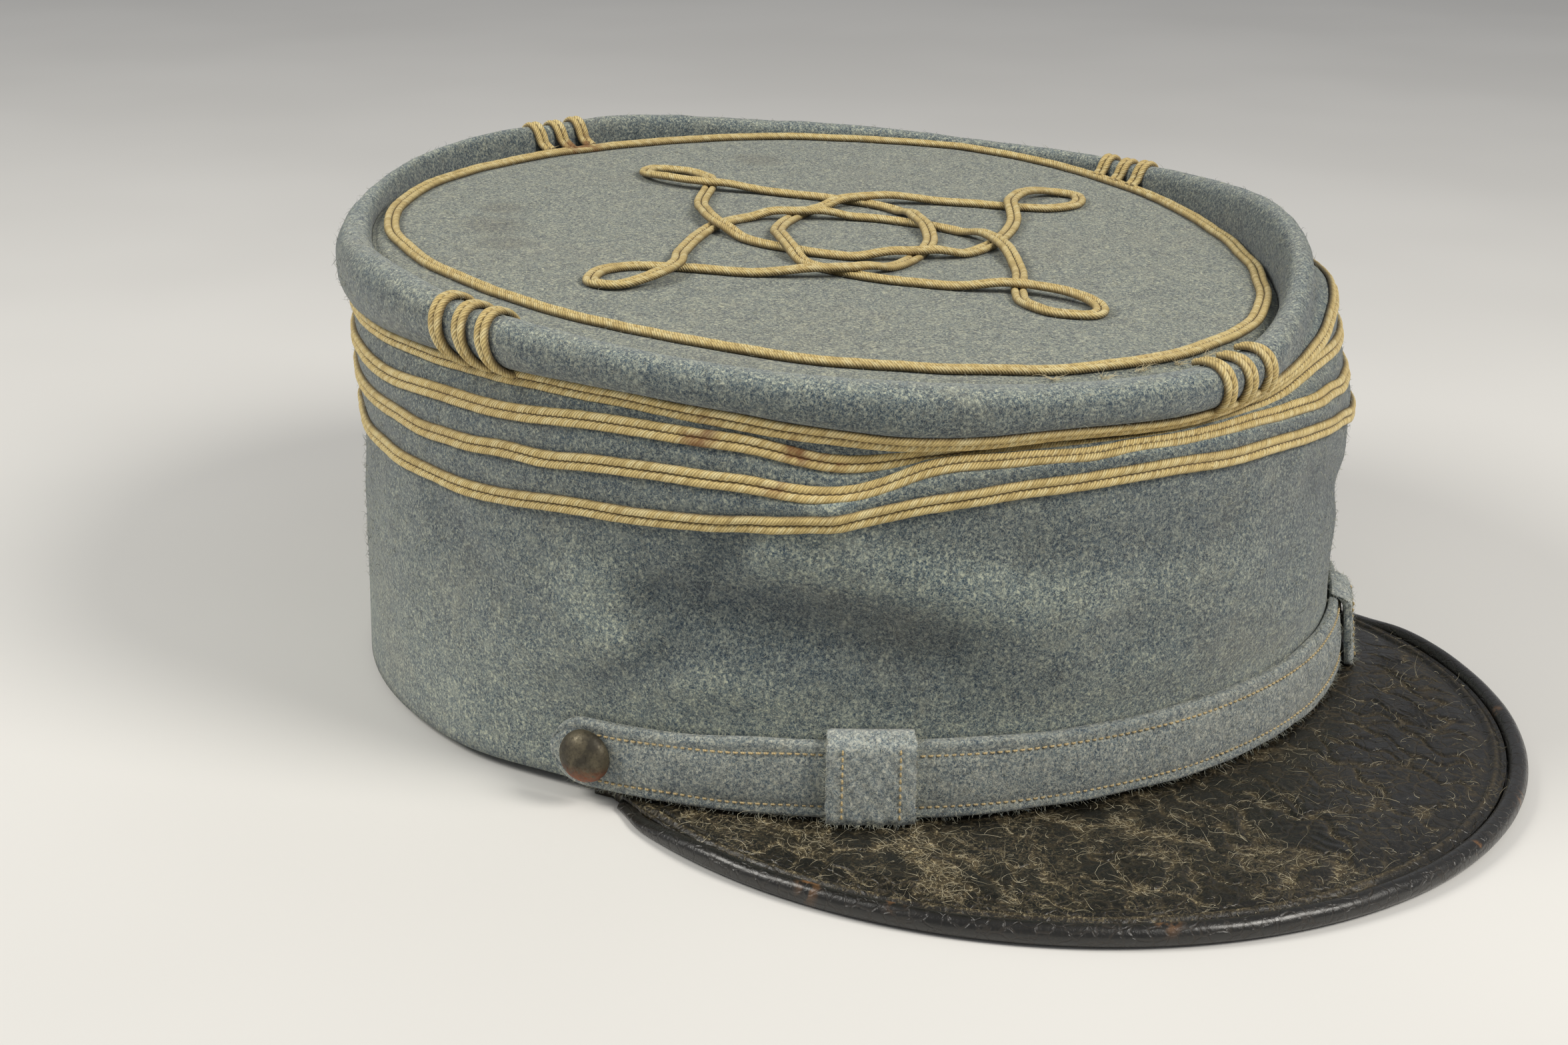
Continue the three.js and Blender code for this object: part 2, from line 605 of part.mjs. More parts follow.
// The peak's outer edge seen from above: an ellipse in front of the root line, and
// straight sides behind it.
function peakRadius(turn) {
  const s = Math.abs(Math.sin(rad(turn)));
  const c = Math.cos(rad(turn));
  const depth = PEAK_REACH - PEAK_ROOT;
  let low = 0;
  let high = PEAK_REACH + 1;
  for (let i = 0; i < PEAK_SEARCH_STEPS; i += 1) {
    const mid = (low + high) / 2;
    const ahead = Math.max(0, mid * c - PEAK_ROOT) / depth;
    const inside = (mid * s / PEAK_HALF_WIDTH) ** PEAK_EXPONENT + ahead ** PEAK_EXPONENT < 1;
    if (inside) low = mid;
    else high = mid;
  }
  return low;
}

function makePeak() {
  const sections = [];
  for (let i = 0; i <= PEAK_STEPS; i += 1) {
    const turn = lerp(-PEAK_END_TURN, PEAK_END_TURN, i / PEAK_STEPS);
    const root = hemRadius(turn) - PEAK_TUCK;
    const edge = Math.max(peakRadius(turn) - BINDING_WIDTH - CLEARANCE, hemRadius(turn) - PEAK_TUCK / 2);
    const top = Math.min(PEAK_THICK, hemZ(turn) - CLEARANCE);
    sections.push([
      [root, 0], [edge, 0], [edge, top], [lerp(root, edge, 0.5), top], [root, top],
    ].map(([r, z]) => polar(turn, r, z)));
  }
  addPiece('peak', loft(sections, false), LEATHER);
}

// The binding's section, flat below and round above: shares of its width in from the
// peak's edge, and of its height.
const BINDING_SECTION = [
  { in: 1, up: 0 },
  { in: 0.2, up: 0 },
  { in: 0, up: 0.35 },
  { in: 0.12, up: 0.85 },
  { in: 0.5, up: 1 },
  { in: 1, up: 0.8 },
];

function makeBinding() {
  const sections = [];
  for (let i = 0; i <= BINDING_STEPS; i += 1) {
    const turn = lerp(-BINDING_END_TURN, BINDING_END_TURN, i / BINDING_STEPS);
    const outer = peakRadius(turn);
    sections.push(BINDING_SECTION.map((k) => polar(turn, outer - k.in * BINDING_WIDTH, k.up * BINDING_HEIGHT)));
  }
  addPiece('peak_binding', loft(sections, false), LEATHER);
}

makeWall();
makeTopDisc();
makeRingBraid();
makeKnot();
makeRowBraids();
makeUprights();
makeStrap();
makeStrapLoop('strap_loop_right', STRAP_CENTRE - LOOP_SPREAD, 0);
makeStrapLoop('strap_loop_left', STRAP_CENTRE + LOOP_SPREAD, LOOP_SLACK);
makeButton('button_right', STRAP_CENTRE - STRAP_SPREAD + BUTTON_INSET);
makeButton('button_left', STRAP_CENTRE + STRAP_SPREAD - BUTTON_INSET);
makePeak();
makeBinding();

// The origin is under the middle of the whole cap, on the surface it stands on.
cap.updateMatrixWorld(true);
const box = new THREE.Box3().setFromObject(cap, true);
const middle = box.getCenter(new THREE.Vector3());
cap.position.set(-middle.x, -middle.y, -box.min.z);

export default cap;
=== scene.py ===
# %% [markdown]
# # A wool kepi, surface by surface
# The cap is a soft drum of felted blue-grey wool with a sunken oval top. Tan braid is
# sewn round it, a black leather peak juts out in front, and a cloth strap lies on the
# hem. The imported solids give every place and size. This file lays a finished surface
# over each of them, worked out with numpy, then makes the materials, light and camera.

# %% Load the frame
import math

import bpy
import numpy as np
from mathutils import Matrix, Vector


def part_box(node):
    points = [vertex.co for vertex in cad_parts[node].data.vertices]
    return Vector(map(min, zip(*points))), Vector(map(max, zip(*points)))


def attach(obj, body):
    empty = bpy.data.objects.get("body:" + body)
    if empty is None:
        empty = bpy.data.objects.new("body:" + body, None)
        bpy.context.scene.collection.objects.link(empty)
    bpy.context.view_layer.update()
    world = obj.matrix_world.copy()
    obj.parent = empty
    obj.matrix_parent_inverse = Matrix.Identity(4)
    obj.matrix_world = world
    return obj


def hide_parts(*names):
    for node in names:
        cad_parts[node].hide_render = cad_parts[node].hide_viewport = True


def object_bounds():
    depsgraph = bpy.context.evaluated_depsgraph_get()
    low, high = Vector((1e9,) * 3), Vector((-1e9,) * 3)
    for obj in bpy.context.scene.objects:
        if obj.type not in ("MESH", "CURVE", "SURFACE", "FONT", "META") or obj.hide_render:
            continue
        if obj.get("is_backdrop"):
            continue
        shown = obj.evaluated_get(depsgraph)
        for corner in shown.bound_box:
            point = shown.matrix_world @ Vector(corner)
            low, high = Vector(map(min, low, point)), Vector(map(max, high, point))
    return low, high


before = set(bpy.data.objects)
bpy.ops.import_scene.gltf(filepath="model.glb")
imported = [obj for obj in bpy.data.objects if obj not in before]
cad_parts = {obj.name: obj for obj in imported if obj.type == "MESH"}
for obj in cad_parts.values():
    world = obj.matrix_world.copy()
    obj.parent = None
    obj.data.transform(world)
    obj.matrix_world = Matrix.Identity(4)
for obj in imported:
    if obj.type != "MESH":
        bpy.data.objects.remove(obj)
cad_box = [list(corner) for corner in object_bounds()]
print("CAD box in metres:", cad_box)

# %% [markdown]
# The cap is easiest to say in millimetres and in angles round the head. A "turn" is 0
# at the front, grows towards the wearer's left and is 180 at the back. The peak is the
# same on both sides, so the box of its solid shows where the axis of the head stands.

# %% The axis of the head
MM = 0.001
PEAK_FRONT = 136.1
peak_low, peak_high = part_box("peak")
AXIS = np.array([(peak_low.x + peak_high.x) / 2, peak_low.y + PEAK_FRONT * MM, 0.0])


def polar(turn, radius, z):
    """Points in mm: the radius times the sine and the negative cosine of the turn, and z."""
    turn, radius, z = np.broadcast_arrays(np.radians(turn), radius, z)
    return np.stack([radius * np.sin(turn), -radius * np.cos(turn), z], -1)


print("The axis stands at", AXIS.round(5))

# %% [markdown]
# Every surface is a grid of points, so one helper turns a grid into four-cornered
# faces, and another writes points and faces into a mesh in whole arrays. Where a grid
# closes into a ring, the map's last column has to run on past the first one instead of
# jumping back, so the map is kept for each corner of each face.

# %% Grids and meshes
def grid_faces(rows, columns, ring_rows=False, ring_columns=False):
    """Corner numbers of the faces between neighbours on a grid, a line of four each."""
    r = np.arange(rows if ring_rows else rows - 1)[:, None]
    c = np.arange(columns if ring_columns else columns - 1)[None, :]
    r1, c1 = (r + 1) % rows, (c + 1) % columns
    corners = [r * columns + c, r1 * columns + c, r1 * columns + c1, r * columns + c1]
    return np.stack(corners, -1).reshape(-1, 4)


def spun_faces(rings, columns):
    """Faces of rings round an axis, closed by a fan of triangles at each end. The two
    poles are numbered after the grid."""
    k = np.arange(columns)
    after, last = (k + 1) % columns, (rings - 1) * columns
    pole = np.full(columns, rings * columns)
    return [grid_faces(rings, columns, False, True), np.stack([pole, k, after], -1),
            np.stack([pole + 1, last + after, last + k], -1)]


def grid_map(u, v, ring_rows=False, ring_columns=False, v_end=1.0):
    """The map at each corner of grid_faces. Past the last row, u goes on by its period,
    and past the last column v takes its end value."""
    rows, columns = v.shape
    if ring_rows:
        u = np.vstack([u, u[:1] + round(float(u[-1, 0] - u[0, 0]))])
        v = np.vstack([v, v[:1]])
    if ring_columns:
        u, v = np.hstack([u, u[:, :1]]), np.hstack([v, np.full((len(v), 1), v_end)])
    corners = [(slice(None, -1), slice(None, -1)), (slice(1, None), slice(None, -1)),
               (slice(1, None), slice(1, None)), (slice(None, -1), slice(1, None))]
    return np.stack([np.stack([u[k], v[k]], -1) for k in corners], -2).reshape(-1, 2)


def volume_of(points, faces):
    """Six times the volume inside: the sum of each triangle's triple product."""
    total = 0.0
    for block in faces:
        for k in range(1, block.shape[1] - 1):
            a, b, c = points[block[:, 0]], points[block[:, k]], points[block[:, k + 1]]
            total += float((a * np.cross(b, c)).sum())
    return total


triangle_counts = {}


def new_piece(name, points, faces, material, corner_map=None, tone=None):
    """Makes a piece at the origin from points in mm round the axis and blocks of faces.
    Where the faces enclose a negative volume they are turned to look outwards."""
    points = np.asarray(points, float).reshape(-1, 3)
    blocks = [np.asarray(b, np.int32) for b in (faces if isinstance(faces, list) else [faces])]
    if volume_of(points, blocks) < 0:
        blocks = [b[:, ::-1] for b in blocks]
        if corner_map is not None:
            corner_map = corner_map.reshape(len(blocks[0]), -1, 2)[:, ::-1].reshape(-1, 2)
    mesh = bpy.data.meshes.new(name)
    mesh.vertices.add(len(points))
    mesh.vertices.foreach_set("co", (points * MM + AXIS).astype(np.float32).ravel())
    corners = np.concatenate([b.ravel() for b in blocks])
    sizes = np.concatenate([np.full(len(b), b.shape[1]) for b in blocks])
    mesh.loops.add(len(corners))
    mesh.loops.foreach_set("vertex_index", corners)
    mesh.polygons.add(len(sizes))
    mesh.polygons.foreach_set("loop_start", np.concatenate([[0], np.cumsum(sizes)[:-1]]))
    if corner_map is not None:
        layer = mesh.uv_layers.new(name="surface")
        whole = np.zeros((len(corners), 2), np.float32)
        whole[:len(corner_map)] = corner_map
        layer.data.foreach_set("uv", whole.ravel())
    if tone is not None:
        layer = mesh.attributes.new(name="tone", type="FLOAT", domain="POINT")
        layer.data.foreach_set("value", np.asarray(tone, np.float32))
    mesh.update(calc_edges=True)
    mesh.shade_smooth()
    mesh.materials.append(material)
    piece = bpy.data.objects.new(name, mesh)
    bpy.context.scene.collection.objects.link(piece)
    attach(piece, "root")
    triangle_counts[name] = int((sizes - 2).sum())
    return piece


# %% [markdown]
# The camera comes first, because everything is judged from there. It stands where the
# photograph's perspective puts it: to the wearer's right of the peak, about 19 degrees
# above the table and half a metre away, with a long lens. Its three axes are worked out
# from the place it looks at, and a small roll is laid over them.

# %% Camera
CAMERA_AZIMUTH = -35.2
CAMERA_HEIGHT_ANGLE = 19.36
CAMERA_ROLL = 0.78
CAMERA_DISTANCE = 475.69
CAMERA_TARGET = np.array([-0.02, 20.83, 13.01])
FOCAL_PIXELS = 3600.0
IMAGE_WIDTH = 2352
SENSOR_WIDTH = 36.0

azimuth, height, roll = np.radians([CAMERA_AZIMUTH, CAMERA_HEIGHT_ANGLE, CAMERA_ROLL])
towards_camera = np.array([np.sin(azimuth) * np.cos(height), -np.cos(azimuth) * np.cos(height),
                           np.sin(height)])
level_right = np.array([np.cos(azimuth), np.sin(azimuth), 0.0])
level_up = np.cross(towards_camera, level_right)
right = level_right * np.cos(roll) + level_up * np.sin(roll)
up = level_up * np.cos(roll) - level_right * np.sin(roll)

camera_data = bpy.data.cameras.new("camera")
camera_data.sensor_width = SENSOR_WIDTH
camera_data.lens = FOCAL_PIXELS / IMAGE_WIDTH * SENSOR_WIDTH
camera_data.clip_start, camera_data.clip_end = 0.01, 50.0
camera = bpy.data.objects.new("camera", camera_data)
bpy.context.scene.collection.objects.link(camera)
place = (CAMERA_TARGET + CAMERA_DISTANCE * towards_camera) * MM + AXIS
pose = np.eye(4)
pose[:3, 0], pose[:3, 1], pose[:3, 2], pose[:3, 3] = right, up, towards_camera, place
camera.matrix_world = pose.T.tolist()
bpy.context.scene.camera = camera
print("The camera stands at", place.round(4), "with a lens of", round(camera_data.lens, 2), "mm")

# %% [markdown]
# Materials are node trees. A few short helpers keep them readable: one adds a node and
# feeds its inputs, some do sums, one mixes colours and one eases a value from 0 to 1
# between two limits. Colours are picked as screen values and turned into light here.

# %% Helpers for materials
def srgb(red, green, blue):
    """A screen colour, 0 to 255, as light: the share plus 0.055, over 1.055, to the 2.4."""
    share = np.array([red, green, blue]) / 255.0
    return (*(((share + 0.055) / 1.055) ** 2.4), 1.0)


def put(tree, kind, inputs=None, **settings):
    """Adds a node. inputs names a socket and the value, or the other socket, that feeds it."""
    node = tree.nodes.new(kind)
    for key, value in settings.items():
        setattr(node, key, value)
    for key, value in (inputs or {}).items():
        if isinstance(value, bpy.types.NodeSocket):
            tree.links.new(value, node.inputs[key])
        else:
            node.inputs[key].default_value = value
    return node


def sums(tree, operation, a, b=0.0, c=0.0):
    """One step of arithmetic on up to three values."""
    return put(tree, "ShaderNodeMath", {0: a, 1: b, 2: c}, operation=operation).outputs[0]


def times(tree, a, b):
    return sums(tree, "MULTIPLY", a, b)


def larger(tree, a, b):
    return sums(tree, "MAXIMUM", a, b)


def mixed(tree, share, a, b, way="MIX"):
    """Colour a with b laid over it by the share."""
    return put(tree, "ShaderNodeMix", {0: share, 6: a, 7: b}, data_type="RGBA",
               blend_type=way).outputs[2]


def eased(tree, value, low, high, start=0.0, end=1.0):
    """From start, where the value is low, to end, where it is high, with soft corners."""
    return put(tree, "ShaderNodeMapRange", {0: value, 1: low, 2: high, 3: start, 4: end},
               interpolation_type="SMOOTHSTEP").outputs[0]


def noise(tree, vector, scale, detail=2.0, roughness=0.5, distortion=0.0):
    """Cloudy noise. The scale is in lumps to the metre, so 1000 gives lumps of 1 mm."""
    inputs = {"Vector": vector, "Scale": scale, "Detail": detail, "Roughness": roughness,
              "Distortion": distortion}
    return put(tree, "ShaderNodeTexNoise", inputs).outputs[0]


def shifted(tree, vector, by):
    """The same pattern from another place, so that two uses of it don't coincide."""
    return put(tree, "ShaderNodeMapping", {"Vector": vector, "Location": by}).outputs[0]


def part_of(tree, vector, axis):
    """One number of a vector: 0, 1 or 2 for x, y or z."""
    return put(tree, "ShaderNodeSeparateXYZ", {0: vector}).outputs[axis]


def tone_of(tree):
    """The number that the piece's points carry as their tone."""
    return put(tree, "ShaderNodeAttribute", attribute_name="tone").outputs["Fac"]


def spots(tree, vector, places):
    """A mask that is 1 at each of some places, (x, y, z, size) in mm round the axis."""
    mask = 0.0
    for x, y, z, size in places:
        centre = tuple(np.array([x, y, z]) * MM + AXIS)
        away = put(tree, "ShaderNodeVectorMath", {0: vector, 1: centre}, operation="DISTANCE")
        mask = larger(tree, mask, eased(tree, away.outputs["Value"], size * MM, 0.3 * size * MM))
    return mask


def new_group(name, inputs, outputs):
    """An empty node group and its two ends. Each socket is (name, kind, value)."""
    group = bpy.data.node_groups.new(name, "ShaderNodeTree")
    for side, sockets in (("INPUT", inputs), ("OUTPUT", outputs)):
        for label, kind, value in sockets:
            socket = group.interface.new_socket(
                name=label, in_out=side, socket_type="NodeSocket" + kind)
            if value is not None:
                socket.default_value = value
    ends = group.nodes.new("NodeGroupInput"), group.nodes.new("NodeGroupOutput")
    return group, ends[0].outputs, ends[1].inputs


def use(tree, group, inputs):
    """Places a node group in a tree and returns its outputs."""
    return put(tree, "ShaderNodeGroup", inputs, node_tree=group).outputs


def new_material(name, **fixed):
    """A material with one Principled shader, whose plain numbers are set on it here."""
    material = bpy.data.materials.new(name)
    material.use_nodes = True
    tree = material.node_tree
    tree.nodes.clear()
    shader = tree.nodes.new("ShaderNodeBsdfPrincipled")
    end = tree.nodes.new("ShaderNodeOutputMaterial")
    tree.links.new(shader.outputs[0], end.inputs[0])
    for key, value in fixed.items():
        shader.inputs[key.replace("_", " ")].default_value = value
    place = tree.nodes.new("ShaderNodeTexCoord").outputs["Object"]
    return material, tree, shader, place


def bumped(tree, shader, height, strength, distance_mm):
    """Lets a height tilt the shader's normal, as if the surface rose by the distance."""
    inputs = {"Height": height, "Strength": strength, "Distance": distance_mm * MM}
    tree.links.new(put(tree, "ShaderNodeBump", inputs).outputs[0], shader.inputs["Normal"])


# %% [markdown]
# The cloth is felted from fibres of several colours, so close to it one sees curly
# cream and dark blue hairs on a grey-blue ground, and from afar a mottled mixture. A
# noise is cloudy, but the thin band where it crosses its middle value is a curly line,
# much like a hair. Several of these bands at different sizes make the felt. The crown,
# the top and the strap all use it, so it is one group with its colours as inputs.

# %% Felt
# Lumps to the metre, so 1900 gives clumps of about half a millimetre.
CLUMPS, CLOUDS = 1900.0, 230.0
LIGHT_HAIRS, FINE_HAIRS, DARK_HAIRS = 1150.0, 2100.0, 1500.0

felt, given, made = new_group(
    "felted_wool",
    [("Place", "Vector", None), ("Ground", "Color", None), ("Light hair", "Color", None),
     ("Dark hair", "Color", None), ("Cloudiness", "Float", 0.5)],
    [("Colour", "Color", None), ("Height", "Float", None)])


def hairs(tree, vector, scale, width, distortion):
    """Curly lines: 1 where a noise is within width of 0.5, easing to 0 beside it."""
    value = noise(tree, vector, scale, 1.0, 0.4, distortion)
    beside = sums(tree, "ABSOLUTE", sums(tree, "SUBTRACT", value, 0.5))
    return eased(tree, beside, width, 0.15 * width)


clumps = noise(felt, given["Place"], CLUMPS, 4.0, 0.75, 0.4)
clouds = noise(felt, given["Place"], CLOUDS, 3.0, 0.6)
light_hairs = hairs(felt, given["Place"], LIGHT_HAIRS, 0.026, 1.8)
fine_hairs = hairs(felt, shifted(felt, given["Place"], (0.3, 0.1, 0.2)), FINE_HAIRS, 0.04, 1.3)
dark_hairs = hairs(felt, shifted(felt, given["Place"], (0.7, 0.5, 0.4)), DARK_HAIRS, 0.04, 1.4)
colour = mixed(felt, eased(felt, clumps, 0.40, 0.56), given["Dark hair"], given["Ground"])
cloud = times(felt, eased(felt, clouds, 0.35, 0.68), given["Cloudiness"])
colour = mixed(felt, cloud, colour, given["Ground"])
colour = mixed(felt, times(felt, dark_hairs, 0.6), colour, given["Dark hair"])
lightness = larger(felt, times(felt, light_hairs, 0.5), times(felt, fine_hairs, 0.48))
lightness = larger(felt, lightness, times(felt, eased(felt, clumps, 0.50, 0.66), 0.75))
felt.links.new(mixed(felt, lightness, colour, given["Light hair"]), made["Colour"])
relief = sums(felt, "ADD", clumps, times(felt, light_hairs, 0.5))
felt.links.new(sums(felt, "ADD", relief, times(felt, fine_hairs, 0.3)), made["Height"])

# %% [markdown]
# The cap is old: dust and wear lie on the cloth, the leather and the buttons in broad
# uneven patches. One group makes such a patchy mask from two sizes of noise.

# %% Patches of dust
patches, given, made = new_group(
    "dusty_patches",
    [("Place", "Vector", None), ("Size", "Float", 60.0), ("Low", "Float", 0.45),
     ("High", "Float", 0.65)],
    [("Mask", "Float", None)])
broad = noise(patches, given["Place"], given["Size"], 4.0, 0.62, 0.4)
fine = noise(patches, given["Place"], times(patches, given["Size"], 9.0), 3.0, 0.7)
both = sums(patches, "ADD", times(patches, broad, 0.75), times(patches, fine, 0.25))
patches.links.new(eased(patches, both, given["Low"], given["High"]), made["Mask"])

# %% [markdown]
# Four finishes are made from the felt: the crown's, the top's, which is a little
# greyer and browner from handling, the strap's and the keepers', which are the strap's
# made paler as painted light. On the crown light and shade are painted into the colour:
# it is lighter low down and on what faces up, darker in its folds as painted shade and
# lighter on its ridges as painted highlights, and the points carry the depth of the folds
# as their tone. Wool scatters light at grazing angles, which the sheen of the shader gives.

# %% Wool materials
# Places as (x, y, z, size) in mm round the axis.
MOTH_HOLE = [(-50.8, -79.4, 70.9, 1.1)]
TOP_STAINS = [(-54.4, 36.8, 77, 9), (-58, 26, 76, 7), (-47, 47, 77, 6), (20, 60, 77, 8)]
CREAM_SPECKS = [(12.4, 43.7, 76.6, 0.9)]
# What the crown's colour is multiplied by: painted light low down and where the cloth
# faces up, painted shade in the folds and painted highlights on the ridges.
PAINTED_LIGHT_LOW, PAINTED_FOLD_SHADE = (1.52, 1.50, 1.43, 1.0), (0.66, 0.68, 0.72, 1.0)
PAINTED_RIDGE_LIGHT = (1.42, 1.42, 1.38, 1.0)
# Heights in metres where the painted light low on the crown begins and where it is full.
PAINTED_LIGHT_BEGINS, PAINTED_LIGHT_FULL = 0.046, 0.010
DIRT, STAIN = srgb(150, 140, 116), srgb(84, 78, 60)
# The moth hole's near-black is painted shade: the dark inside seen through a hole that is not cut.
HOLE_SHADE, SPECK = srgb(16, 16, 18), srgb(214, 200, 160)
BLOTCHES, CLOUDINESS = 430.0, 0.3


def wool(name, ground, light, dark, browned=(), hole_shades=(), specks=(), with_painted_light=False):
    """Felt with faint dirt and blotches, then painted light and shade, then single marks."""
    material, tree, shader, place = new_material(
        name, Roughness=0.92, Sheen_Weight=0.35, Sheen_Roughness=0.5, Specular_IOR_Level=0.2)
    out = use(tree, felt, {"Place": place, "Ground": ground, "Light hair": light, "Dark hair": dark,
                           "Cloudiness": CLOUDINESS})
    colour = out["Colour"]
    dust = use(tree, patches, {"Place": place, "Size": 38.0, "Low": 0.45, "High": 0.75})["Mask"]
    colour = mixed(tree, times(tree, dust, 0.16), colour, DIRT)
    blotches = noise(tree, place, BLOTCHES, 3.0, 0.65)
    colour = mixed(tree, eased(tree, blotches, 0.50, 0.66, 0.0, 0.13), colour, light)
    colour = mixed(tree, eased(tree, blotches, 0.48, 0.34, 0.0, 0.15), colour, dark)
    if with_painted_light:
        # Painted light: the cloth is lightened low down and where it faces up.
        height = part_of(tree, place, 2)
        facing_up = part_of(tree, put(tree, "ShaderNodeNewGeometry").outputs["Normal"], 2)
        low_and_up_light = larger(tree, eased(tree, height, PAINTED_LIGHT_BEGINS, PAINTED_LIGHT_FULL),
                         eased(tree, facing_up, 0.25, 0.9))
        colour = mixed(tree, low_and_up_light, colour, PAINTED_LIGHT_LOW, "MULTIPLY")
        # Painted shade in the folds and painted highlights on the ridges, both read from the tone.
        dirt_and_fold_shade = tone_of(tree)
        colour = mixed(tree, dirt_and_fold_shade, colour, PAINTED_FOLD_SHADE, "MULTIPLY")
        colour = mixed(tree, eased(tree, dirt_and_fold_shade, 0.0, -0.9), colour, PAINTED_RIDGE_LIGHT, "MULTIPLY")
    if browned:
        colour = mixed(tree, times(tree, spots(tree, place, browned), 0.30), colour, STAIN)
    # A painted dark spot stands for the shade inside each moth hole.
    if hole_shades:
        colour = mixed(tree, spots(tree, place, hole_shades), colour, HOLE_SHADE)
    if specks:
        colour = mixed(tree, spots(tree, place, specks), colour, SPECK)
    tree.links.new(colour, shader.inputs["Base Color"])
    bumped(tree, shader, out["Height"], 0.6, 0.36)
    return material


CROWN_WOOL = wool("crown_wool", srgb(90, 106, 114), srgb(192, 194, 172), srgb(35, 51, 67),
                  hole_shades=MOTH_HOLE, with_painted_light=True)
TOP_WOOL = wool("top_wool", srgb(115, 129, 126), srgb(220, 218, 184), srgb(34, 50, 64),
                browned=TOP_STAINS, specks=CREAM_SPECKS)
STRAP_WOOL = wool("strap_wool", srgb(140, 153, 154), srgb(226, 223, 202), srgb(62, 78, 92))
# The keepers take the strap's wool made paler: painted light on them.
KEEPER_WOOL_PAINTED_LIGHT = wool("keeper_wool_painted_light", srgb(162, 174, 173), srgb(240, 237, 218), srgb(80, 95, 108))
print("Four wool materials from one group")

# %% [markdown]
# The crown is one crumpled tube of cloth. A table says how it is crumpled: at each of
# eighteen turns it gives the heights of the four rows of braid and of the rolled edge,
# how far the cloth is tucked in at a row, and how far the seam of the top lies outside
# the ring of braid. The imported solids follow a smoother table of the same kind, so the
# cloth lies on them to within a millimetre or two.

# %% The crumple table
HEM_LENGTH, HEM_WIDTH, HEM_FORWARD, HEM_PITCH = 184.0, 184.0, 2.4, 0.93
CROWN_HEIGHT, TOP_RECESS, TOP_PITCH, TOP_ROLL = 74.8, 1.0, 3.05, 0.36
CLOTH, CLEARANCE, CROWN_LEAN, LEAN_TURN = 2.0, 0.3, 5.0, -125.0
FOLD_DEPTH, SEAM_SPREAD, ROLL_HEIGHT, CREST_IN, UNDER = 5.0, 14.0, 0.62, 0.45, (0.7, 0.5)
RING_LENGTH, RING_WIDTH, RING_EGG, RING_EXPONENT = 164.0, 150.4, 0.2, 2.08
STRAP_HEIGHT, STRAP_THICK, STRAP_CENTRE, STRAP_SPREAD, STRAP_FADE = 12.6, 2.0, 4.0, 69.5, 16.0
ROW_EDGE = 1.4

# Name, height as a share of the crown's, size as a share of the hem's, share of the lean.
LEVELS = [("hem", 0, 1, 0), ("band", 0.18, 1, 0), ("low", 0.3, 0.999, 0),
          ("middle", 0.46, 0.997, 0), ("row4", 0, 0.992, 0), ("row3", 0, 0.985, 0.16), ("row2", 0, 0.977, 0.33),
          ("row1", 0, 0.968, 0.52), ("roll", 0, 0.974, 1)]
COLUMNS = ["row4", "row3", "row2", "row1", "crest", "tuck3", "tuck2", "tuck1", "slump", "seam"]
STATIONS = np.array([
    [-180, 0.640, 0.730, 0.820, 0.905, 1.116, 0, 0, 0, 0.2, 0.3],
    [-150, 0.630, 0.725, 0.813, 0.895, 1.103, 0, 0, 0, -0.1, 0.26],
    [-120, 0.620, 0.722, 0.808, 0.888, 1.052, 0, 0, 0, -0.05, 0.26],
    [-100, 0.636, 0.732, 0.813, 0.889, 1.065, 0, 0, 0.2, 0.1, 0.62],
    [-80, 0.640, 0.740, 0.826, 0.900, 1.043, 0, 0.1, 0.4, 0.2, 0.92],
    [-62, 0.666, 0.764, 0.849, 0.902, 1.013, 0, 0.1, 0.3, 0.1, 1.00],
    [-48, 0.677, 0.764, 0.842, 0.883, 0.993, 0, 0.2, 0.2, 0.2, 0.90],
    [-38, 0.694, 0.740, 0.800, 0.860, 0.977, 0.1, 0.4, 0.1, 0.3, 0.72],
    [-29, 0.733, 0.794, 0.819, 0.848, 0.965, 0.3, 0.55, 0, 0.45, 0.55],
    [-15, 0.763, 0.805, 0.827, 0.853, 0.951, 0.2, 0.62, 0, 0.65, 0.36],
    [0, 0.762, 0.802, 0.820, 0.845, 0.945, 0.2, 0.62, 0, 0.8, 0.28],
    [12, 0.749, 0.799, 0.823, 0.857, 0.952, 0.2, 0.55, 0, 0.45, 0.22],
    [25, 0.720, 0.784, 0.842, 0.886, 0.985, 0, 0.4, 0, -0.3, 0.18],
    [42, 0.666, 0.755, 0.843, 0.930, 1.045, 0, 0, 0, -0.8, 0.17],
    [62, 0.650, 0.742, 0.835, 0.922, 1.072, 0, 0, 0, -0.9, 0.17],
    [90, 0.645, 0.738, 0.828, 0.912, 1.05, 0, 0, 0, -0.4, 0.18],
    [120, 0.640, 0.732, 0.820, 0.905, 1.036, 0, 0, 0, 0.7, 0.15],
    [150, 0.640, 0.730, 0.820, 0.905, 1.07, 0, 0, 0, 0.8, 0.16],
])
# Turn, spread, height, rise and depth of each dent, negative where the cloth bulges.
DENTS = [(-36, 20, 0.40, 0.15, 0.62), (-62, 16, 0.46, 0.2, -0.25), (-37, 9, 0.62, 0.08, -0.3),
         (48, 26, 0.37, 0.17, 0.65), (55, 42, 0.8, 0.32, 0.55), (-118, 26, 0.25, 0.5, 0.2),
         (56, 20, 0.40, 0.15, 0.42), (-46, 14, 0.43, 0.10, 0.42)]


def cosd(angle):
    return np.cos(np.radians(angle))


def sind(angle):
    return np.sin(np.radians(angle))


def tand(angle):
    return np.tan(np.radians(angle))


def lerp(a, b, share):
    return a + (b - a) * share


def unit(vectors):
    return vectors / np.linalg.norm(vectors, axis=-1, keepdims=True)


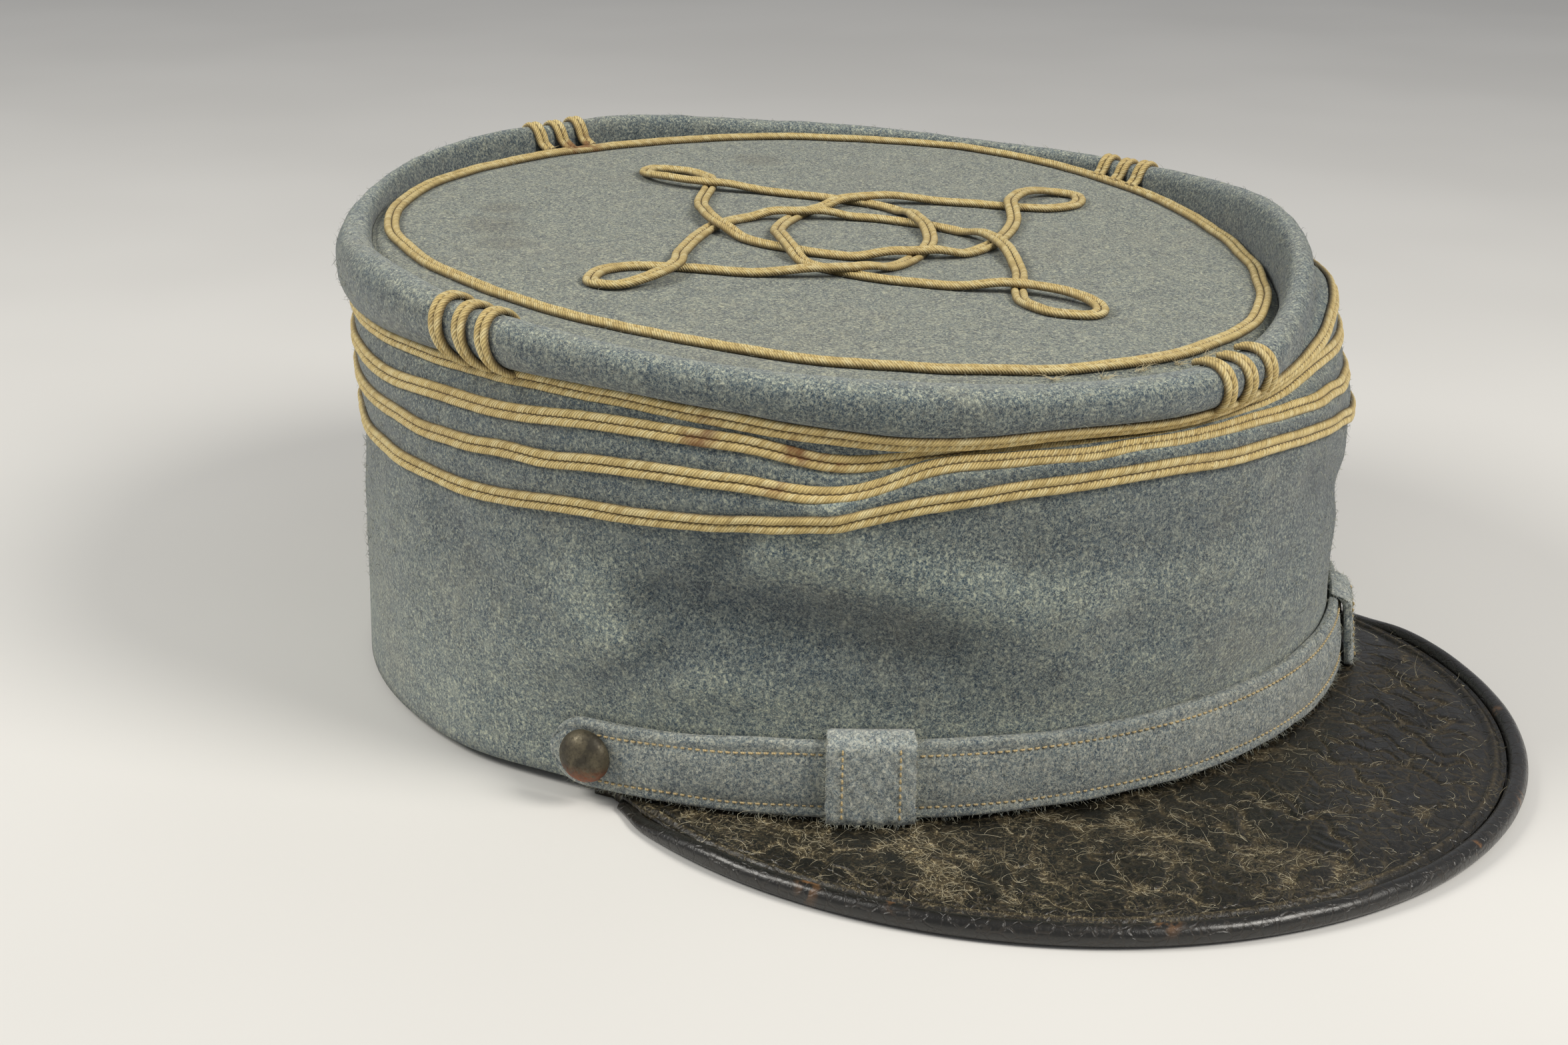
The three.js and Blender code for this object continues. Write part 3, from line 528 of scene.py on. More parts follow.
def cubic(start, end, leave, arrive, s):
    """The smooth curve from start to end with the slopes leave and arrive: each of the
    four is weighed by a cubic in the share s."""
    return (start * (1 + 2 * s) * (1 - s) ** 2 + end * s * s * (3 - 2 * s)
            + leave * s * (1 - s) ** 2 - arrive * s * s * (1 - s))


def ease(low, high, value):
    """0 below low, 1 above high, and 3 s s - 2 s s s in between."""
    s = np.clip((value - low) / (high - low), 0, 1)
    return s * s * (3 - 2 * s)


def wrapped(turn):
    """The same turn between -180 and 180."""
    return (turn + 180.0) % 360.0 - 180.0


def station(name, turn):
    """A column of the table at any turn. Between two lines it is an eased step, plus
    s (1 - s) times the slopes at both ends, so it runs smoothly through the lines."""
    knots, values = STATIONS[:, 0], STATIONS[:, 1 + COLUMNS.index(name)]
    count = len(knots)
    t = wrapped(turn)
    i = np.searchsorted(knots, t, side="right") - 1

    def at(k):
        return values[k % count], knots[k % count] + 360.0 * (k // count)

    def slope(k):
        (after, after_turn), (before, before_turn) = at(k + 1), at(k - 1)
        return (after - before) / (after_turn - before_turn)

    (here, start), (there, end) = at(i), at(i + 1)
    s = (t - start) / (end - start)
    bend = s * (1 - s) * ((1 - s) * slope(i) - s * slope(i + 1)) * (end - start)
    return lerp(here, there, s * s * (3 - 2 * s)) + bend


print(len(STATIONS), "turns in the table; the rolled edge at the front is at",
      round(float(station("crest", np.array([0.0]))[0]) * CROWN_HEIGHT, 1), "mm")

# %% [markdown]
# Four outlines carry the whole cap: the hem, an oval a little forward of the axis; the
# ring of braid, an egg with its wide end at the back; the slope of the top; and the
# low plane of the hem, which is tipped by a degree because the peak holds it up.

# %% Outlines
def hem_radius(turn):
    """One over the root of (sine over half width) and (cosine over half length), squared
    and added, plus the forward shift times the cosine."""
    oval = np.hypot(sind(turn) / (HEM_WIDTH / 2), cosd(turn) / (HEM_LENGTH / 2))
    return 1 / oval + HEM_FORWARD * cosd(turn)


def ring_radius(turn):
    """A rounded oval whose half width grows towards the back. The width depends on the
    radius and the radius on the width, so six rounds bring them together."""
    half = RING_LENGTH / 2
    radius = np.full(np.shape(turn), half)
    for _ in range(6):
        half_width = (RING_WIDTH / 2) * (1 - RING_EGG * radius * cosd(turn) / half)
        across = np.abs(sind(turn) / half_width) ** RING_EXPONENT
        along = np.abs(cosd(turn) / half) ** RING_EXPONENT
        radius = (across + along) ** (-1 / RING_EXPONENT)
    return radius


def top_z(x, y):
    return CROWN_HEIGHT - TOP_RECESS + y * tand(TOP_PITCH) - x * tand(TOP_ROLL)


def hem_z(turn):
    back = HEM_LENGTH / 2 - HEM_FORWARD
    return (back + hem_radius(turn) * cosd(turn)) * tand(HEM_PITCH)


def strap_cover(turn):
    """1 where the strap lies on the hem, easing to 0 past its ends."""
    return 1 - ease(0, STRAP_FADE, np.abs(wrapped(turn - STRAP_CENTRE)) - STRAP_SPREAD)


def dent_depth(turn, z):
    """Each dent is a bell over the turn and the height: depth times e to the minus
    (away over spread) squared minus (height away over rise) squared."""
    depth = 0.0
    for middle, spread, height, rise, share in DENTS:
        bell = np.exp(-(wrapped(turn - middle) / spread) ** 2
                      - ((z / CROWN_HEIGHT - height) / rise) ** 2)
        depth = depth + share * FOLD_DEPTH * bell
    return depth


def wall_points(turn):
    """The cloth's named points at each turn, as (radius, height)."""
    points = {}
    for name, height, size, share in LEVELS:
        radius = size * hem_radius(turn) + share * CROWN_LEAN * cosd(turn - LEAN_TURN)
        z = hem_z(turn) * (1 - height) + height * CROWN_HEIGHT
        if name.startswith("row"):
            z = station(name, turn) * CROWN_HEIGHT
        if "tuck" + name[3:] in COLUMNS:
            radius = radius - station("tuck" + name[3:], turn) * FOLD_DEPTH
        if name != "roll":
            radius = radius - dent_depth(turn, z)
        if name in ("hem", "band"):
            radius = radius - strap_cover(turn) * (STRAP_THICK + CLEARANCE)
        points[name] = np.stack([radius, z], -1)
    seam = ring_radius(turn) + station("seam", turn) * SEAM_SPREAD
    points["seam"] = np.stack([seam, top_z(seam * sind(turn), -seam * cosd(turn))], -1)
    crest = station("crest", turn) * CROWN_HEIGHT
    out = points["roll"][..., 0] + station("slump", turn) * FOLD_DEPTH
    points["roll"] = np.stack([out, lerp(points["row1"][..., 1], crest, ROLL_HEIGHT)], -1)
    points["crest"] = np.stack([lerp(out, seam, CREST_IN), crest], -1)
    return points


print("Hem radius at the front", round(float(hem_radius(np.array(0.0))), 1), "mm")

# %% [markdown]
# Cloth that was worn and then lay in a box is never smooth. Over the big dents of the
# table go three smaller reliefs: creases, which are soft valleys along short lines;
# ripples, which are a few waves of random direction; and a slight swelling of the cloth
# between two rows of braid, where the stitches pull it in. All are in mm along the
# surface's own normal.

# %% Creases, ripples and swellings
# Turn and height of both ends, width and depth in mm, negative for a ridge.
CREASES = [
    (-55, 37, -27, 29, 4.0, 1.2), (-48, 32, -30, 27, 3.0, 0.5), (-63, 37, -59, 29, 5.0, -0.8),
    (-67, 16, -54, 27, 3.4, 1.2), (-52, 23, -42, 21, 3.6, -0.9), (-44, 45, -24, 40, 4.2, -1.2),
    (-38, 54, -36, 46, 3.0, -0.8), (-46, 50, -50, 43, 3.0, 0.6), (-20, 47, 4, 46, 3.4, 0.5),
    (-34, 21, -18, 24, 4.0, 0.5), (-30, 14, -8, 17, 4.0, -0.5), (-27, 39, -14, 35, 6.0, -0.9),
    (-24, 40, 8, 38, 5.0, -0.5), (20, 46, 44, 34, 4.0, 0.7), (30, 24, 60, 22, 4.5, 0.5),
    (-84, 42, -70, 30, 4.0, 0.5), (-100, 30, -92, 44, 5.0, -0.4), (-16, 33, 4, 26, 4.0, 0.4),
    (70, 40, 96, 30, 5.0, 0.5), (128, 38, 150, 24, 5.0, 0.5), (-150, 40, -128, 30, 5.0, 0.5),
    (172, 44, 196, 32, 5.0, 0.5),
]
MM_PER_TURN = 1.6


def crease_depth(turn, z):
    """For each crease, depth times e to the minus (distance from its line over width)
    squared, with the turn taken as mm round the wall."""
    depth = 0.0
    for turn0, z0, turn1, z1, width, share in CREASES:
        x, y = wrapped(turn - turn0) * MM_PER_TURN, z - z0
        dx, dy = (turn1 - turn0) * MM_PER_TURN, z1 - z0
        along = np.clip((x * dx + y * dy) / (dx * dx + dy * dy), 0, 1)
        away = np.hypot(x - along * dx, y - along * dy)
        depth = depth + share * np.exp(-(away / width) ** 2)
    return depth


def ripples(turn, z, seed, count, shortest, longest):
    """The mean of some waves, each the sine of whole waves round the head plus waves up
    the wall. Wavelengths are in mm, and the seed fixes their directions and places."""
    draw = np.random.default_rng(seed)
    total = 0.0
    for _ in range(count):
        length = draw.uniform(shortest, longest)
        angle, start = draw.uniform(-1.3, 1.3), draw.uniform(0, 2 * np.pi)
        round_waves = np.round(360 * MM_PER_TURN * np.cos(angle) / length)
        total = total + np.sin(np.radians(turn) * round_waves
                               + z * 2 * np.pi * np.sin(angle) / length + start)
    return total / np.sqrt(count)


# The named points up the wall and the steps of the grid between them.
SPANS = [("hem", "band", 6), ("band", "low", 5), ("low", "middle", 7), ("middle", "row4", 9),
         ("row4", "row3", 6), ("row3", "row2", 6), ("row2", "row1", 6)]
ROW_STEP = {4: 27, 3: 33, 2: 39, 1: 45}
ARC_STEPS = (8, 10, 9)
# Steps between which the wall's relief fades in, and the roll's fades out.
WALL_FADE, ROLL_FADE = (6, 14), (64, 71)
# Heights in mm: broad and fine ripples, the swelling and the press of the uprights.
WALL_BROAD, WALL_FINE, ROLL_BROAD, ROLL_FINE = 0.32, 0.10, 0.13, 0.05
SWELLING, UPRIGHT_PRESS, UPRIGHT_PRESS_TURN = 0.45, 0.45, 4.5


def through(before, start, end, after, steps):
    """Steps along a curve from start to end, on the cubic whose slopes at both ends are
    half the step from the point before to the point after."""
    s = (np.arange(steps) / steps)[:, None]
    start_slope, end_slope = (end - before) / 2, (after - start) / 2
    return cubic(*[k[..., None, :] for k in (start, end, start_slope, end_slope)], s)


def quarter(start, end, leave_upright, steps):
    """A quarter of an ellipse. One coordinate goes by the sine, the other by one minus
    the cosine, so that it leaves one way and arrives the other."""
    a = np.arange(1, steps + 1) / steps * np.pi / 2
    slow, fast = 1 - np.cos(a), np.sin(a)
    share = np.stack([slow, fast] if leave_upright else [fast, slow], -1)
    return start[..., None, :] + (end - start)[..., None, :] * share


def normals_of(line):
    """The unit normals of lines in the upright plane: a quarter turn from the slope."""
    slope = unit(np.gradient(line, axis=-2))
    return np.stack([slope[..., 1], -slope[..., 0]], -1)


# The turn at which each group of three uprights crosses the roll.
UPRIGHT_GROUPS = {"front": 6.2, "left": 100.5, "back": -172.0, "right": -78.0}


def cloth_outer(turn):
    """The cloth's outer face as [turn, step, (radius, height)]: a smooth curve up the
    wall through the rows, then three quarter ellipses under, over and behind the roll."""
    p = wall_points(turn)
    under = p["row1"] + (p["roll"] - p["row1"]) * np.array(UNDER)
    chain = [2 * p["hem"] - p["band"], p["hem"]] + [p[end] for _, end, _ in SPANS] + [under]
    parts = [through(*chain[k:k + 4], steps) for k, (_, _, steps) in enumerate(SPANS)]
    high = p["row1"] + unit(under - p["row2"]) * ROW_EDGE
    parts += [p["row1"][:, None], high[:, None], quarter(high, p["roll"], False, ARC_STEPS[0]),
              quarter(p["roll"], p["crest"], True, ARC_STEPS[1]),
              quarter(p["crest"], p["seam"], False, ARC_STEPS[2])]
    line = np.concatenate(parts, axis=1)
    line[:, 1:-1] = 0.5 * line[:, 1:-1] + 0.25 * (line[:, :-2] + line[:, 2:])
    step = np.arange(line.shape[1])
    z, around = line[..., 1], np.broadcast_to(np.asarray(turn)[:, None], line.shape[:2])
    row4, row3, row1 = ROW_STEP[4], ROW_STEP[3], ROW_STEP[1]
    row_gap = row3 - row4
    on_wall = ease(*WALL_FADE, step) * (1 - ease(row4, row3, step) * 0.7) * (step <= row1)
    on_roll = ease(row1, row1 + row_gap, step) * (1 - ease(*ROLL_FADE, step))
    between_rows = np.sin(np.pi * ((step - row4) / row_gap)) ** 2 * (step > row4) * (step < row1)
    relief = on_wall * (WALL_BROAD * ripples(around, z, 3, 7, 24, 60)
                        + WALL_FINE * ripples(around, z, 5, 9, 6, 14) - crease_depth(around, z))
    relief = relief + on_roll * (ROLL_BROAD * ripples(around, z, 8, 6, 22, 60)
                                 + ROLL_FINE * ripples(around, z, 9, 8, 6, 14))
    for middle in UPRIGHT_GROUPS.values():
        pressed = np.exp(-(wrapped(around - middle) / UPRIGHT_PRESS_TURN) ** 2)
        relief = relief - UPRIGHT_PRESS * on_roll * pressed
    relief = relief + SWELLING * between_rows
    return line + normals_of(line) * relief[..., None]


def cloth_inner(turn):
    """The lining side, from the seam back to the hem, one cloth's thickness inside."""
    p = wall_points(turn)
    seam, crest, roll = p["seam"], p["crest"], p["roll"]
    down, inward = np.array([0, -CLOTH]), np.array([-CLOTH, 0])
    chain = [seam + down, seam + down - inward, crest + down, roll + inward]
    chain += [p[name] + inward for name, *_ in LEVELS[-2::-1]]
    ends = [2 * chain[0] - chain[1], *chain, 2 * chain[-1] - chain[-2]]
    parts = [through(*ends[k:k + 4], 3) for k in range(len(chain) - 1)]
    return np.concatenate(parts + [chain[-1][:, None]], axis=1)


# %% [markdown]
# Now the cloth itself. At each of 480 turns the outer and the inner line make one closed
# loop, and the loops are joined into a ring, as a potter would wind coils.

# %% The crown
CROWN_TURNS = 480
# How much of the dents' depth darkens the tone as painted shade.
DENT_SHADE = 0.30
crown_turn = np.arange(CROWN_TURNS) * 360.0 / CROWN_TURNS
crown_loop = np.concatenate([cloth_outer(crown_turn), cloth_inner(crown_turn)], axis=1)
crown_points = polar(crown_turn[:, None], crown_loop[..., 0], crown_loop[..., 1])
loop_turn, loop_z = crown_turn[:, None], crown_loop[..., 1]
# The tone is painted shade: the depth of the creases and a share of the dents, negative on ridges, where it
# paints light.
fold = crease_depth(loop_turn, loop_z) + DENT_SHADE * dent_depth(loop_turn, loop_z)
crown_fold_shade = np.clip(fold, -1, 1) * ease(3, 12, np.arange(crown_loop.shape[1]))
crown = new_piece("crown_cloth", crown_points, grid_faces(*crown_loop.shape[:2], True, True),
                  CROWN_WOOL, tone=crown_fold_shade.ravel())
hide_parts("crown_wall")
print("Crown:", triangle_counts["crown_cloth"], "triangles")

# %% [markdown]
# The top is an oval disc of the same cloth, set down inside the roll. It is a polar
# grid: rings from the middle out, then round the edge and back underneath. Where the
# cloth meets the roll it dips into the seam, and round the ring of braid and the knot
# the stitches pull it down a little.

# %% The top
TOP_TURNS, TOP_RINGS = 360, 56
SEAM_DIP, FURROW, FURROW_WIDTH = 0.9, 0.25, 2.4
TOP_WAVES, TOP_SMALL_WAVES, TOP_RISE = 0.16, 0.05, 0.55
# Where the crumple has pulled the front of the top back, and over how wide a turn.
PULL_TURN, PULL_SPREAD = -4.0, 34.0
top_turn = np.arange(TOP_TURNS) * 360.0 / TOP_TURNS
top_edge = wall_points(top_turn)["seam"][:, 0] - 0.1


def front_pull(turn):
    """A bell over the turn, 1 where the front is pulled back most."""
    return np.exp(-(wrapped(turn - PULL_TURN) / PULL_SPREAD) ** 2)


def top_cloth_z(x, y):
    """The height of the top's cloth: the sloping plane, two sizes of soft ripples, a
    furrow at the ring of braid, which is a bell, and a slight rise at the front."""
    turn, radius = np.degrees(np.arctan2(x, -y)), np.hypot(x, y)
    waves = np.sin(x / 9.3 + 0.8 * np.sin(y / 14.0)) * np.cos(y / 11.7 + 1.1)
    small = np.sin(x / 3.1 + y / 5.3 + 1.7 * np.sin(y / 4.1)) * np.sin(y / 3.7 - x / 6.1)
    furrow = np.exp(-((radius - ring_radius(turn)) / FURROW_WIDTH) ** 2)
    risen = TOP_RISE * front_pull(turn) * ease(30, 72, radius) * (1 - ease(80, 84, radius))
    return top_z(x, y) + TOP_WAVES * waves + TOP_SMALL_WAVES * small - FURROW * furrow + risen


ring_share = np.sin(np.linspace(0.03, 1, TOP_RINGS) * np.pi / 2) ** 0.9
top_radius = top_edge[None, :] * ring_share[:, None]
top_x, top_y = top_radius * sind(top_turn), -top_radius * cosd(top_turn)
dip = SEAM_DIP * np.exp(-((top_edge[None, :] - top_radius) / 1.3) ** 2)
top_faces_up = np.stack([top_x, top_y, top_cloth_z(top_x, top_y) - dip], -1)
under_share = np.array([1.0, 0.97, 0.8, 0.6, 0.4, 0.2, 0.05])[:, None]
under_radius = top_edge * under_share
under_x, under_y = under_radius * sind(top_turn), -under_radius * cosd(top_turn)
top_faces_down = np.stack([under_x, under_y, top_z(under_x, under_y) - CLOTH], -1)
top_grid = np.concatenate([top_faces_up, top_faces_down])
poles = np.array([[0, 0, top_cloth_z(0.0, 0.0)], [0, 0, top_z(0, 0) - CLOTH]])
top = new_piece("top_cloth", np.vstack([top_grid.reshape(-1, 3), poles]),
                spun_faces(len(top_grid), TOP_TURNS), TOP_WOOL)
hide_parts("crown_top")
print("Top:", triangle_counts["top_cloth"], "triangles")

# %% [markdown]
# The trimming is a flat braid of tan cotton: two plump cords side by side, wound with
# fine threads that run at a slant, one cord leaning left and the other right, so that
# they meet in a herringbone. A section of fourteen corners is carried along a path.
# The threads are finer than a corner's step, so they are left to the material: the map
# keeps the count of threads in its first number. The shape gets what the eye sees from
# afar, the two round cords and their slight unevenness.

# %% The braid's section
THREAD_PITCH = 0.5
BRAID_STEP = 0.36
BRAID_SEAT = 0.06
CORD_RADIUS, CORD_OFFSET, CORD_HEIGHT = 0.69, 0.71, 0.36
CORD_UNEVEN, THREAD_SLANT = 0.02, 1.5
CORD_ANGLES = np.array([200.0, 163.0, 128.0, 93.0, 58.0, 20.0])

# Side (-1 or 1) and angle of each of the twelve round corners, from the left over the top.
SIDES = np.concatenate([np.full(6, -1.0), np.full(6, 1.0)])
ANGLES = np.concatenate([CORD_ANGLES, 180 - CORD_ANGLES[::-1]])


def braid_section(along, pitch):
    """Across and up for each corner at each length along, and the thread's count there.
    A corner is the cord's middle plus its radius at an angle. The count is the length
    over the pitch plus a lean by the angle, mirrored between the cords. The radius
    varies by a few waves of 2 to 9 mm."""
    lean = THREAD_SLANT * (ANGLES - 90.0) / 90.0
    count = along[:, None] / pitch + lean
    waves = sum(np.sin(along[:, None] * 2 * np.pi / length + 1.3 * k + SIDES * k)
                for k, length in enumerate((2.3, 3.7, 5.9, 8.6)))
    radius = CORD_RADIUS + CORD_UNEVEN * waves * 0.6
    across = SIDES * CORD_OFFSET + radius * cosd(ANGLES)
    height = np.maximum(CORD_HEIGHT + radius * sind(ANGLES), 0.04)
    flat = np.full((len(along), 1), 1.0)
    across = np.hstack([across, flat * 1.2, flat * -1.2])
    height = np.hstack([height, flat * 0, flat * 0])
    count = np.hstack([count, count[:, -1:], count[:, :1]])
    return across, height, count


def braid_piece(name, node, centre, side, out, lengths, ring, lift=0.0):
    """Lays the section on a path: centre plus side times across plus out times height.
    Where the path is a ring, the pitch is trimmed to a whole count of threads."""
    total = lengths[-1] + (lengths[-1] - lengths[-2] if ring else 0)
    pitch = total / round(total / THREAD_PITCH) if ring else THREAD_PITCH
    across, height, count = braid_section(lengths, pitch)
    height = height + np.reshape(lift, (-1, 1)) + BRAID_SEAT
    points = centre[:, None] + side[:, None] * across[..., None] + out[:, None] * height[..., None]
    rows, columns = across.shape
    faces = [grid_faces(rows, columns, ring, True)]
    if not ring:
        end = np.arange(columns)[None]
        faces += [end, (rows - 1) * columns + end[:, ::-1]]
    v = np.broadcast_to(np.arange(columns) / columns, (rows, columns))
    piece = new_piece(name, points, faces, BRAID, grid_map(count, v, ring, True))
    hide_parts(node)
    return piece


# %% [markdown]
# Many threads repeat the same look, so one group turns the thread count into a tint for
# each thread, a dark line between two threads and a height. The braid and the sewing
# threads both use it.

# %% Twisted thread
thread_look, given, made = new_group(
    "twisted_thread",
    [("Count", "Float", None), ("Lane", "Float", None), ("Ground", "Color", None),
     ("Dark", "Color", None), ("Light", "Color", None), ("Unevenness", "Float", 0.6)],
    [("Colour", "Color", None), ("Height", "Float", None)])
which = sums(thread_look, "FLOOR", given["Count"])
pair = put(thread_look, "ShaderNodeCombineXYZ", {0: which, 1: given["Lane"], 2: 0.0}).outputs[0]
chance = put(thread_look, "ShaderNodeTexWhiteNoise", {"Vector": pair},
             noise_dimensions="2D").outputs["Value"]
wave = sums(thread_look, "COSINE", times(thread_look, given["Count"], 2 * math.pi))
crown_of_thread = sums(thread_look, "MULTIPLY_ADD", wave, 0.5, 0.5)
tint = times(thread_look, eased(thread_look, chance, 0.45, 1.0), given["Unevenness"])
colour = mixed(thread_look, tint, given["Ground"], given["Light"])
shade = times(thread_look, eased(thread_look, chance, 0.45, 0.0), given["Unevenness"])
colour = mixed(thread_look, times(thread_look, shade, 0.6), colour, given["Dark"])
gap = eased(thread_look, crown_of_thread, 0.5, 0.0)
colour = mixed(thread_look, times(thread_look, gap, 0.58), colour, given["Dark"])
thread_look.links.new(colour, made["Colour"])
thread_look.links.new(crown_of_thread, made["Height"])

# %% [markdown]
# The braid's colour then gets painted shade in the valley between the two cords and
# along its feet, and what age has done: darker patches, pale and dark fuzz and
# rust-brown runs in a few places.

# %% Braid material
RUST = [(-70.7, -57.3, 63.3, 4.5), (-60.5, -67.2, 61.7, 4.0), (-56, -71, 60.9, 3.0),
        (-63.0, -65.6, 56.3, 4.0), (-39.8, -81.2, 55.6, 4.0), (-20.2, -88.5, 57.0, 3.5),
        (-9.4, 82.6, 78.0, 7.0)]
BRAID, tree, shader, place = new_material(
    "tan_braid", Roughness=0.62, Sheen_Weight=0.08, Sheen_Roughness=0.45, Specular_IOR_Level=0.4)
VALLEY, RIGHT_FOOT = 5.5 / 14, 11.0 / 14
surface = put(tree, "ShaderNodeSeparateXYZ", {0: put(tree, "ShaderNodeTexCoord").outputs["UV"]})
count, across = surface.outputs[0], surface.outputs[1]
lane = sums(tree, "GREATER_THAN", across, 0.4)
look = use(tree, thread_look, {
    "Count": count, "Lane": lane, "Ground": srgb(224, 200, 134), "Dark": srgb(122, 99, 52),
    "Light": srgb(252, 240, 188), "Unevenness": 0.55})
colour = look["Colour"]
zigzag = times(tree, sums(tree, "COSINE", times(tree, count, math.pi)), 0.022)
from_valley = sums(tree, "ADD", sums(tree, "SUBTRACT", across, VALLEY), zigzag)
middle_valley = eased(tree, sums(tree, "ABSOLUTE", from_valley), 0.085, 0.025)
left_foot = eased(tree, across, 0.16, 0.01)
right_foot = eased(tree, across, RIGHT_FOOT - 0.16, RIGHT_FOOT - 0.01)
# Painted shade down the sides of the two cords: in the valley between them and at their feet.
painted_cord_shade = larger(tree, middle_valley, larger(tree, left_foot, right_foot))
painted_cord_shade = times(tree, painted_cord_shade, 0.84)
colour = mixed(tree, painted_cord_shade, colour, srgb(66, 49, 27))
aged = use(tree, patches, {"Place": place, "Size": 45.0, "Low": 0.42, "High": 0.68})["Mask"]
colour = mixed(tree, times(tree, aged, 0.26), colour, srgb(168, 142, 96))
fuzz = noise(tree, place, 2600.0, 2.0, 0.6)
colour = mixed(tree, eased(tree, fuzz, 0.5, 0.8, 0.0, 0.30), colour, srgb(236, 214, 168))
colour = mixed(tree, eased(tree, fuzz, 0.45, 0.2, 0.0, 0.40), colour, srgb(112, 92, 56))
rust = times(tree, spots(tree, place, RUST), eased(tree, noise(tree, place, 300.0, 2.0), 0.35, 0.6))
colour = mixed(tree, times(tree, rust, 0.8), colour, srgb(118, 70, 34))
tree.links.new(colour, shader.inputs["Base Color"])
bumped(tree, shader, sums(tree, "ADD", times(tree, fuzz, 0.5), look["Height"]), 0.75, 0.13)
print("The braid's material is made of", len(tree.nodes), "nodes")

# %% [markdown]
# Four rows run round the wall. Each follows one step of the cloth's own grid, worked
# out at many more turns, so it lies exactly on the cloth. A little unevenness is sewn
# in, since the rows were laid by hand.

# %% Rows of braid
ROW_TURNS = 1600
row_turn = np.arange(ROW_TURNS) * 360.0 / ROW_TURNS
outer = cloth_outer(row_turn)


def lengths_of(points):
    """How far along the line each point lies, in mm."""
    steps = np.linalg.norm(np.diff(points, axis=0), axis=1)
    return np.concatenate([[0], np.cumsum(steps)])


def in_plane(turn, pair):
    """Turns (radius, height) into a vector at each turn."""
    return polar(turn, pair[..., 0], pair[..., 1])


for row, step in ROW_STEP.items():
    seat = outer[:, step]
    along = unit(outer[:, step + 1] - outer[:, step - 1])
    facing = np.stack([along[:, 1], -along[:, 0]], -1)
    wander = 0.16 * ripples(row_turn, 0.0, 20 + row, 6, 12, 50)[:, None]
    centre = in_plane(row_turn, seat + along * wander)
    braid_piece(f"row_braid_cord_{row}", f"row_braid_{row}", centre, in_plane(row_turn, along),
                in_plane(row_turn, facing), lengths_of(centre), True)
print("A row has", triangle_counts["row_braid_cord_1"], "triangles")

# %% [markdown]
# The ring lies on the top, where the furrow was pressed for it. Level across, it is a
# row turned flat: its side points outwards and its face looks up. At the front the
# crumple has pulled it back by a millimetre and a half.

# %% Ring of braid
RING_TURNS, PULLED_BACK = 1380, 1.5
TOP_FACING = np.array([tand(TOP_ROLL), -tand(TOP_PITCH), 1.0])


def ring_heading(points):
    """The direction of a closed line at each of its points."""
    return unit(np.gradient(np.vstack([points[-1:], points, points[:1]]), axis=0)[1:-1])


turn = np.arange(RING_TURNS) * 360.0 / RING_TURNS
wander = 0.16 * ripples(turn, 0.0, 31, 6, 14, 50)
radius = ring_radius(turn) + wander - PULLED_BACK * front_pull(turn)
x, y = radius * sind(turn), -radius * cosd(turn)
centre = np.stack([x, y, top_cloth_z(x, y) + 0.1], -1)
face_up = unit(np.broadcast_to(TOP_FACING, centre.shape))
outwards = np.cross(ring_heading(centre), face_up)
braid_piece("ring_braid_cord", "top_ring_braid", centre, outwards, face_up, lengths_of(centre),
            True)
print("The ring is", round(lengths_of(centre)[-1]), "mm long")

# %% [markdown]
# The knot is one closed strand. A quarter of it is enough, because the other three are
# the same quarter turned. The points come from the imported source, and a smooth curve
# goes through them. Where the strand passes over itself it climbs onto the strand
# below, and everywhere else it lies on the cloth.

# %% The knot's path
KNOT_REACH, KNOT_X, KNOT_Y, KNOT_TWIST, KNOT_LIFT = 58.4, 1.1, 1.4, 6.3, 1.4
OVER_CLIMB = 1.12
KNOT_QUARTER = np.array([
    [0.01, 1.02, 0.5], [-0.06, 0.98, 0.6], [-0.075, 0.88, 0.8], [-0.015, 0.73, 1],
    [0.14, 0.58, 0.5], [0.31, 0.31, 0], [0.34, 0.15, 0.5], [0.28, 0, 1], [0.17, -0.17, 0.5],
    [0, -0.28, 0],
    [-0.15, -0.325, 0.5], [-0.31, -0.31, 1], [-0.55, -0.17, 0.5], [-0.73, 0.015, 0],
    [-0.82, 0.085, 0], [-0.93, 0.09, 0.3]])


def turned(points, angle):
    """Turns the first two coordinates by an angle in degrees."""
    x, y = points[:, 0], points[:, 1]
    return np.stack([x * cosd(angle) - y * sind(angle), x * sind(angle) + y * cosd(angle),
                     points[:, 2]], -1)


def knot_path(step):
    """A closed cubic through the points, each slope weighed by the roots of the two
    distances beside it (a centripetal curve), then cut into even steps."""
    knot = np.vstack([turned(KNOT_QUARTER, 90 * k + KNOT_TWIST) for k in range(4)])
    p = knot * [KNOT_REACH, KNOT_REACH, KNOT_LIFT] + [KNOT_X, KNOT_Y, 0]
    before, after, later = np.roll(p, 1, 0), np.roll(p, -1, 0), np.roll(p, -2, 0)
    d0 = np.linalg.norm(p - before, axis=1, keepdims=True) ** 0.5
    d1, d2 = np.roll(d0, -1, 0), np.roll(d0, -2, 0)
    leave = ((p - before) / d0 - (after - before) / (d0 + d1) + (after - p) / d1) * d1
    arrive = ((after - p) / d1 - (later - p) / (d1 + d2) + (later - after) / d2) * d1
    s = (np.arange(60) / 60)[None, :, None]
    dense = cubic(*[k[:, None] for k in (p, after, leave, arrive)], s).reshape(-1, 3)
    dense = np.vstack([dense, dense[:1]])
    length = lengths_of(dense[:, :2])
    even = np.linspace(0, length[-1], int(length[-1] / step), endpoint=False)
    return np.stack([np.interp(even, length, dense[:, k]) for k in range(3)], -1), even


# %% [markdown]
# The path's third number says how far the strand lies over another, and the climb is
# eased from it. The braid's face looks as nearly up as its heading allows.

